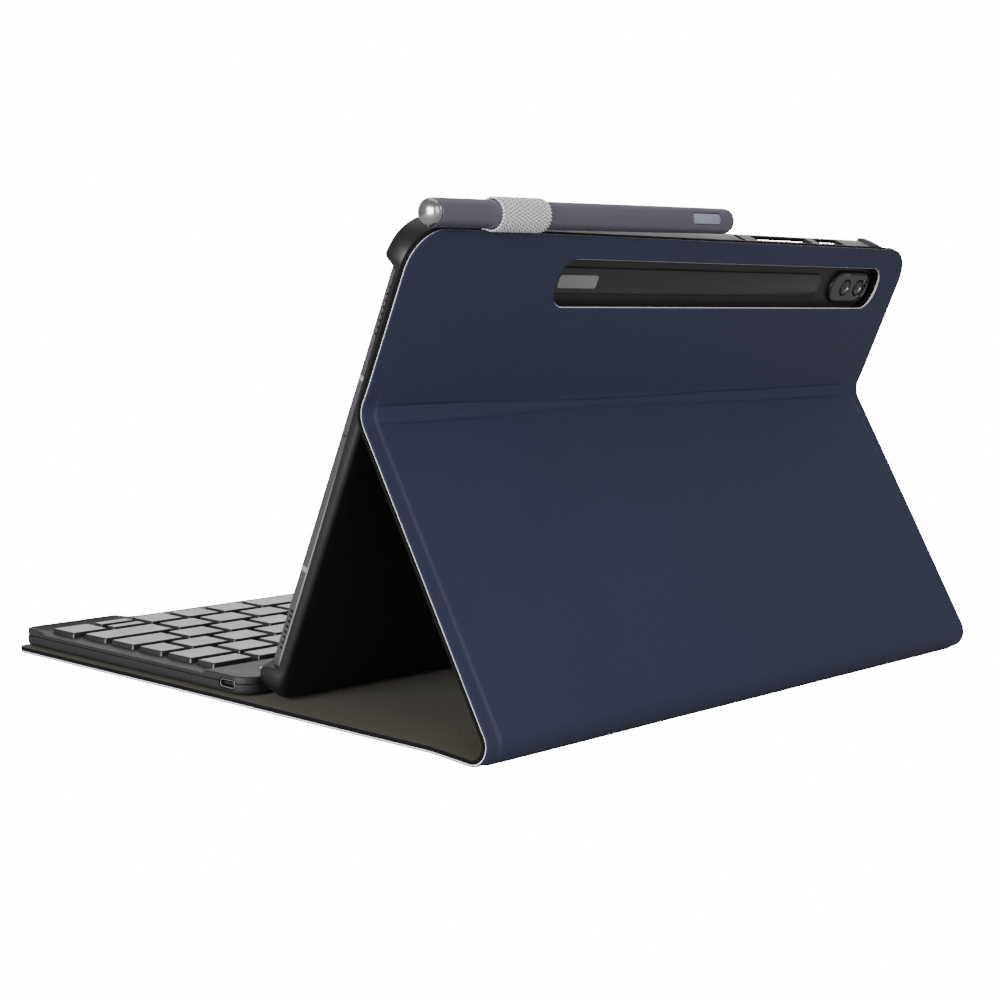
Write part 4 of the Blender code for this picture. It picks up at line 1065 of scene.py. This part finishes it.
def build_pen_loop():
    """The band goes round the stylus, and its tail goes down between leather and lining."""
    middle = STYLUS_RADIUS + GAP + LOOP_WALL / 2
    joint = math.asin((LOOP_TAIL_DEPTH - STYLUS_AT.y) / middle)
    sweep = TAU - 0.06
    ring = []
    for i in range(197):
        angle = joint - sweep * i / 196
        out = (-math.cos(angle), math.sin(angle))
        ring.append((middle * out[0], middle * out[1], out))
    band = knitted("pen_loop_elastic", ring, LOOP_WALL, 0.26 * MM)
    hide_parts("pen_loop")
    start, end = [y - STYLUS_AT.x for y in LOOP_TAIL]
    tail = [(start + (end - start) * i / 60, LOOP_TAIL_DEPTH - STYLUS_AT.y, (0.0, -1.0)) for i in range(61)]
    knitted("pen_loop_tail", tail, LOOP_WALL, 0.05 * MM)


# ---------------------------------------------------------------- keyboard


def keyboard_outline(inset, steps=10):
    front, rear = KEYBOARD_CORNERS
    return rounded(-KEYBOARD_HALF_WIDTH, KEYBOARD_HALF_WIDTH, KEYBOARD_FRONT, KEYBOARD_REAR,
                   (front, front, rear, rear), steps, inset)


def row_slots(names_and_pitches, right):
    """One row from its right-hand end, as (node, x0, x1)."""
    slots = []
    for name, pitch in names_and_pitches:
        slots.append((name, right - pitch + KEY_GAP_X / 2, right - KEY_GAP_X / 2))
        right -= pitch
    return slots


def row_of(first, group, count, last):
    entries = [first] + [(group, KEY_PITCH_X)] * count
    left_over = 2 * KEY_FIELD - sum(pitch for _, pitch in entries)
    return entries + [(last, left_over)]


def key_plan():
    """Every key as (node, x0, x1, y0, y1) on the front panel's frame."""
    function_pitch = 2 * KEY_FIELD / 13
    bottom = [("key_right", 16.5 * MM), ("key_up_down", 16.0 * MM), ("key_left", 16.2 * MM),
              ("keys_right_modifiers", 16.3 * MM), ("keys_right_modifiers", 17.5 * MM)]
    left = [("keys_left_modifiers", 16.2 * MM)] * 4
    space = 2 * KEY_FIELD + BOTTOM_ROW_SHIFT - sum(pitch for _, pitch in bottom + left)
    rows = [
        bottom + [("key_space", space)] + left,
        row_of(("key_shift_right", 30.8 * MM), "keys_lower_letters", 10, "key_shift_left"),
        row_of(("key_enter", 23.2 * MM), "keys_home_letters", 11, "key_caps"),
        row_of(("key_backslash", 12.6 * MM), "keys_upper_letters", 11, "key_tab"),
        row_of(("key_backspace", 19.9 * MM), "keys_number_row", 11, "keys_number_row"),
        [("key_lock", function_pitch)] + [("keys_function_row", function_pitch)] * 11
        + [("key_escape", function_pitch)],
    ]
    plan = []
    for index, row in enumerate(rows):
        y0 = KEY_FRONT + index * KEY_PITCH_Y
        depth = FUNCTION_DEPTH if index == len(rows) - 1 else KEY_DEPTH
        right = KEY_FIELD + (BOTTOM_ROW_SHIFT if index == 0 else 0.0)
        for name, x0, x1 in row_slots(row, right):
            if name == "key_up_down":
                middle = y0 + depth / 2
                plan.append(("key_down", x0, x1, y0, middle - MM))
                plan.append(("key_up", x0, x1, middle + MM, y0 + depth))
            else:
                plan.append((name, x0, x1, y0, y0 + depth))
    return plan


def build_keys(plan):
    """Blank keycaps with a shallow dish and soft edges. Each stands on a thin flange under the deck."""
    counts = {}
    for node, x0, x1, y0, y1 in plan:
        counts[node] = counts.get(node, 0) + 1
        number = counts[node]
        flange = GAP if node in ("key_up", "key_down") else KEY_FLANGE

        def cap(inset):
            return rounded(x0, x1, y0, y1, 0.9 * MM, 5, inset)

        def base(inset):
            return rounded(x0, x1, y0, y1, 1.2 * MM, 5, inset)

        levels = [(-flange, KEY_BASE), (-flange, KEY_BASE + 0.4 * MM)]
        rings = stack(base, levels)
        rings += stack(cap, [(0.0, KEY_BASE + 0.42 * MM), (KEY_TAPER * 0.85, KEY_TOP - 0.42 * MM),
                             (KEY_TAPER + 0.04 * MM, KEY_TOP - 0.16 * MM),
                             (KEY_TAPER + 0.16 * MM, KEY_TOP - 0.04 * MM), (KEY_TAPER + 0.36 * MM, KEY_TOP),
                             (KEY_TAPER + 1.2 * MM, KEY_TOP - 0.03 * MM),
                             (KEY_TAPER + 2.0 * MM, KEY_TOP - 0.05 * MM)])
        name = f"{node}_cap_{number:02d}"
        piece = finish_mesh(name, loft_mesh(rings, FRONT_FRAME), ["keycap"], node, angle=50)
        if number == 1:
            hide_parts(node)
        if node == "keys_home_letters" and number in (5, 8):
            middle = (x0 + x1) / 2
            bar = rounded(middle - 1.6 * MM, middle + 1.6 * MM, y0 + 2.4 * MM, y0 + 3.0 * MM, 0.3 * MM, 5)
            rings = [[(x, y, z) for x, y in bar] for z in (KEY_TOP - 0.1 * MM, KEY_TOP + 0.12 * MM)]
            finish_mesh(name + "_bump", loft_mesh(rings, FRONT_FRAME), ["keycap"], node)


def deck_height(x, y):
    """Top of the deck: flat, up a short ramp to the rear bar, with a raised lip at each front corner."""
    height = DECK_TOP + (BAR_TOP - DECK_TOP) * smoothstep((y - BAR_FRONT) / BAR_RAMP)
    across = smoothstep((abs(x) - 81 * MM) / (9 * MM))
    back = (y - KEYBOARD_FRONT - 1.4 * MM) / (5.6 * MM)
    slope = 1.0 if back < 0 else max(1 - back, 0.0) ** 2
    side = (KEYBOARD_HALF_WIDTH - abs(x) - 1.2 * MM) / (4.5 * MM)
    fillet = (1 - side) ** 2 if 0 < side < 1 else (1.0 if side <= 0 else 0.0)
    wrap = fillet * (1 - smoothstep((y - KEYBOARD_FRONT - 5 * MM) / (6 * MM)))
    return height + (RIM_TOP - DECK_TOP) * across * max(slope, wrap)


DECK = Sheet(KEYBOARD_HALF_WIDTH, KEYBOARD_FRONT, KEYBOARD_REAR, *KEYBOARD_CORNERS)


def deck_surface(x, y):
    edge = min(max(DECK.edge(x, y) / (0.7 * MM), 0.0), 1.0)
    return deck_height(x, y) - 0.6 * MM * (1 - math.sqrt(1 - (1 - edge) ** 2))


def on_panel(x, y, z):
    return FRONT_FRAME @ Vector((x, y, z))


def deck_rows():
    places = DECK.corner_rows(10)
    for i in range(20):
        places.add(KEYBOARD_FRONT + 0.6 * MM * i)
        places.add(BAR_FRONT - 0.4 * MM + BAR_RAMP * 1.4 * i / 19)
    for margin in (0.1, 0.25, 0.45, 0.7):
        places.update((KEYBOARD_FRONT + margin * MM, KEYBOARD_REAR - margin * MM))
    for i in range(13):
        places.add(KEYBOARD_FRONT + 12 * MM + 6.6 * MM * i)
    for i in range(5):
        places.add(BAR_FRONT + 4 * MM + 2.5 * MM * i)
    return thinned(places, ROW_APART)


def port_outline(grow):
    return rounded(PORT.x - 3.4 * MM, PORT.x + 3.4 * MM, PORT.y - 1.3 * MM, PORT.y + 1.3 * MM, 1.2 * MM,
                   8, -grow)


def build_housing(plan):
    margins = [m * MM for m in (0, 0.1, 0.25, 0.45, 0.7, 1.2, 1.9, 2.7, 3.6, 4.6, 5.8)]
    deck = slab("keyboard_top_housing", deck_rows(), DECK.half, on_panel,
                (deck_surface, lambda x, y: DECK_BOTTOM), ["housing"], [0, 0], interior=40,
                margins=margins, angle=40)
    clearance = KEY_CLEARANCE
    openings = [prism(rounded(x0, x1, y0, y1, 1.0 * MM, 4, -clearance), TRAY_TOP, RIM_TOP + MM)
                for _, x0, x1, y0, y1 in plan]
    pips = [block(x - 1.5 * MM, x + 1.5 * MM, PIPS_Y - 0.8 * MM, PIPS_Y + 0.8 * MM, TRAY_TOP, BAR_TOP + MM)
            for x in PIPS_X]
    inner_half = KEYBOARD_HALF_WIDTH - TRAY_WALL
    inner_corner = KEYBOARD_CORNERS[1] - TRAY_WALL
    hollow = rounded(-inner_half, inner_half, BAR_FRONT + BAR_RAMP + 0.8 * MM, KEYBOARD_REAR - TRAY_WALL,
                     (0.0, 0.0, inner_corner, inner_corner), 6)
    port = along_x(port_outline(0.30 * MM), KEYBOARD_HALF_WIDTH - 4 * MM, KEYBOARD_HALF_WIDTH + MM)
    cut(deck, [tools(openings, FRONT_FRAME), tools(pips, FRONT_FRAME),
               tool(prism(hollow, TRAY_TOP, BAR_TOP - 0.8 * MM), FRONT_FRAME), tool(port, FRONT_FRAME)],
        angle=32)
    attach(deck, "keyboard")
    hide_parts("keyboard_deck")

    floor = TRAY_BOTTOM + 0.8 * MM
    levels = [(1.6 * MM, TRAY_BOTTOM), (1.0 * MM, TRAY_BOTTOM + 0.1 * MM),
              (0.45 * MM, TRAY_BOTTOM + 0.45 * MM), (0.12 * MM, TRAY_BOTTOM + 1.0 * MM),
              (0.0, TRAY_BOTTOM + 1.6 * MM), (0.0, TRAY_TOP - 0.15 * MM),
              (0.12 * MM, TRAY_TOP), (TRAY_WALL, TRAY_TOP), (TRAY_WALL, floor + 0.3 * MM),
              (TRAY_WALL + 0.3 * MM, floor)]
    tray = finish_mesh("keyboard_bottom_housing", loft_mesh(stack(keyboard_outline, levels), FRONT_FRAME),
                       ["housing"], angle=35)
    slot = block(-KEYBOARD_HALF_WIDTH - MM, -KEYBOARD_HALF_WIDTH + 2 * MM, SWITCH_Y[0] - 0.5 * MM,
                 SWITCH_Y[1] + SWITCH_TRAVEL + 0.5 * MM, 4.1 * MM, 5.7 * MM)
    cut(tray, [tool(slot, FRONT_FRAME), tool(port, FRONT_FRAME)], angle=35)
    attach(tray, "keyboard")
    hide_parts("keyboard_tray")


def build_port():
    back, front = KEYBOARD_HALF_WIDTH - 8 * MM, KEYBOARD_HALF_WIDTH - 0.3 * MM
    rings = []
    for grow, x in ((0.0, back), (0.0, front - 0.05 * MM), (-0.05 * MM, front), (-0.25 * MM, front),
                    (-0.3 * MM, front - 0.05 * MM), (-0.3 * MM, back + MM)):
        rings.append([(x, y, z) for y, z in port_outline(grow)])
    shield = finish_mesh("socket_shield", loft_mesh(rings, FRONT_FRAME), ["socket"], "keyboard")
    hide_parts("charging_socket")
    tongue = rounded(PORT.x - 2.3 * MM, PORT.x + 2.3 * MM, PORT.y - 0.3 * MM, PORT.y + 0.3 * MM,
                     0.2 * MM, 4)
    finish_mesh("socket_tongue", loft_mesh(along_x(tongue, back + MM, front - 0.8 * MM), FRONT_FRAME),
                ["dark"], "keyboard")
    for side in (-1, 1):
        for i in range(6):
            y = PORT.x + (i - 2.5) * 0.72 * MM
            z = PORT.y + side * 0.32 * MM
            pin = [(y - 0.15 * MM, z - 0.03 * MM), (y + 0.15 * MM, z - 0.03 * MM),
                   (y + 0.15 * MM, z + 0.03 * MM), (y - 0.15 * MM, z + 0.03 * MM)]
            finish_mesh(f"socket_contact_{'ab'[side > 0]}{i}",
                        loft_mesh(along_x(pin, back + 2 * MM, front - MM), FRONT_FRAME), ["contact"],
                        "keyboard")


def build_switch():
    """Slide switch with ridges across its face."""
    outer = -KEYBOARD_HALF_WIDTH - 0.5 * MM
    y0, y1 = SWITCH_Y
    inner = -KEYBOARD_HALF_WIDTH + 3 * MM
    outline = [(inner, y1), (inner, y0), (outer + 0.2 * MM, y0)]
    ridges = 4
    for i in range(ridges * 4 + 1):
        t = i / (ridges * 4)
        outline.append((outer + 0.16 * MM * (0.5 - 0.5 * math.cos(TAU * ridges * t)),
                        y0 + 0.15 * MM + (y1 - y0 - 0.3 * MM) * t))
    outline.append((outer + 0.2 * MM, y1))
    switch = finish_mesh("power_slider", loft_mesh(prism(outline, 4.4 * MM, 5.4 * MM), FRONT_FRAME),
                         ["keycap"], "power_switch")
    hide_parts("power_switch")


def build_indicator():
    """Light guide under the bar, with a window for each of three lights."""
    web = rounded(PIPS_X[0] - 2 * MM, PIPS_X[-1] + 2 * MM, PIPS_Y - 1.2 * MM, PIPS_Y + 1.2 * MM, 0.5 * MM, 5)
    guide = finish_mesh("light_guide_web", loft_mesh(prism(web, 6.7 * MM, 7.2 * MM), FRONT_FRAME),
                        ["lightguide"], "keyboard")
    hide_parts("indicator_lens")
    for number, x in enumerate(PIPS_X):
        def window(inset, x=x):
            return rounded(x - 1.2 * MM, x + 1.2 * MM, PIPS_Y - 0.5 * MM, PIPS_Y + 0.5 * MM, 0.45 * MM, 6,
                           inset)

        levels = [(0.0, 7.2 * MM), (0.0, BAR_TOP - 0.12 * MM), (0.1 * MM, BAR_TOP - 0.02 * MM),
                  (0.25 * MM, BAR_TOP)]
        finish_mesh(f"light_window_{number}", loft_mesh(stack(window, levels), FRONT_FRAME), ["lightguide"],
                    "keyboard")


def finish_inner_nodes():
    """CAD pieces whose shape is right keep their mesh and take a better material."""
    for node, key in (("panel_steel_strip", "steel"), ("key_membrane", "rubber"),
                      ("circuit_board", "circuit"), ("battery", "battery"), ("keyboard_magnet", "steel")):
        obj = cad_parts[node]
        for index in range(max(len(obj.material_slots), 1)):
            if obj.material_slots:
                obj.material_slots[index].material = M[key]
            else:
                obj.data.materials.append(M[key])


# ---------------------------------------------------------------- stage, light and camera


CAMERA_GLOW = 18.0                            # floor and background as the camera sees them: plain white


def build_stage():
    mesh = bmesh.new()
    size = 8.0
    for x, y in ((-size, -size), (size, -size), (size, size), (-size, size)):
        mesh.verts.new((x, y, -0.05 * MM))
    mesh.faces.new(mesh.verts)
    floor = add_mesh("floor", mesh)
    material = bpy.data.materials.new("floor")
    material.use_nodes = True
    nodes, links = material.node_tree.nodes, material.node_tree.links
    shader = nodes["Principled BSDF"]
    shader.inputs["Base Color"].default_value = (0.45, 0.45, 0.45, 1.0)
    shader.inputs["Roughness"].default_value = 0.9
    shader.inputs["Specular IOR Level"].default_value = 0.1
    shader.inputs["Emission Color"].default_value = (1.0, 1.0, 1.0, 1.0)
    path = nodes.new("ShaderNodeLightPath")
    glow = nodes.new("ShaderNodeMath")
    glow.operation = "MULTIPLY"
    glow.inputs[1].default_value = CAMERA_GLOW
    links.new(path.outputs["Is Camera Ray"], glow.inputs[0])
    links.new(glow.outputs[0], shader.inputs["Emission Strength"])
    floor.data.materials.append(material)


def build_world():
    world = bpy.data.worlds.new("studio")
    bpy.context.scene.world = world
    world.use_nodes = True
    nodes, links = world.node_tree.nodes, world.node_tree.links
    background = nodes["Background"]
    background.inputs["Color"].default_value = (1.0, 1.0, 1.0, 1.0)
    path = nodes.new("ShaderNodeLightPath")
    spread = add_node(nodes, "MapRange", To_Min=0.30, To_Max=CAMERA_GLOW)
    links.new(path.outputs["Is Camera Ray"], spread.inputs["Value"])
    links.new(spread.outputs["Result"], background.inputs["Strength"])


def add_light(name, place, target, size, power):
    data = bpy.data.lights.new(name, "AREA")
    data.shape = "RECTANGLE"
    data.size, data.size_y = size
    data.energy = power
    light = add_object(name, data)
    light.location = place
    direction = Vector(target) - Vector(place)
    light.rotation_euler = direction.to_track_quat("-Z", "Y").to_euler()
    light.visible_camera = False


def build_lights():
    centre = (0.0, 0.02, 0.06)
    add_light("key_light", (0.35, 1.15, 0.45), centre, (1.2, 0.9), 6.5)
    add_light("top_light", (-0.3, -0.2, 1.4), centre, (1.4, 1.2), 4.0)
    add_light("side_light", (1.3, 0.1, 0.3), centre, (0.9, 0.6), 24.0)
    add_light("glare_card", (-1.7, -1.5, 0.55), centre, (3.2, 1.1), 30.0)


def build_camera_view():
    azimuth, elevation, roll = (math.radians(v) for v in (131.537, 6.82, 1.581))
    target = Vector((0.054681, 0.042693, 0.061104))
    distance = 0.607796
    back = Vector((math.sin(azimuth) * math.cos(elevation), -math.cos(azimuth) * math.cos(elevation),
                   math.sin(elevation)))
    right = Vector((math.cos(azimuth), math.sin(azimuth), 0.0))
    up = back.cross(right)
    rolled_right = math.cos(roll) * right + math.sin(roll) * up
    rolled_up = -math.sin(roll) * right + math.cos(roll) * up
    data = bpy.data.cameras.new("camera")
    data.lens = 70.897
    data.sensor_width = 36.0
    camera = add_object("camera", data)
    placing = Matrix((rolled_right, rolled_up, back)).transposed().to_4x4()
    placing.translation = target + back * distance
    camera.matrix_world = placing
    bpy.context.scene.camera = camera


# ---------------------------------------------------------------- assembly

build_camera_view()
build_stage()
build_world()
build_lights()
build_cover()
build_shell()
build_tablet()
build_rear_camera()
build_pen_strip()
build_side_buttons()
build_stylus()
build_pen_loop()
KEY_PLAN = key_plan()
build_keys(KEY_PLAN)
build_housing(KEY_PLAN)
build_port()
build_switch()
build_indicator()
finish_inner_nodes()
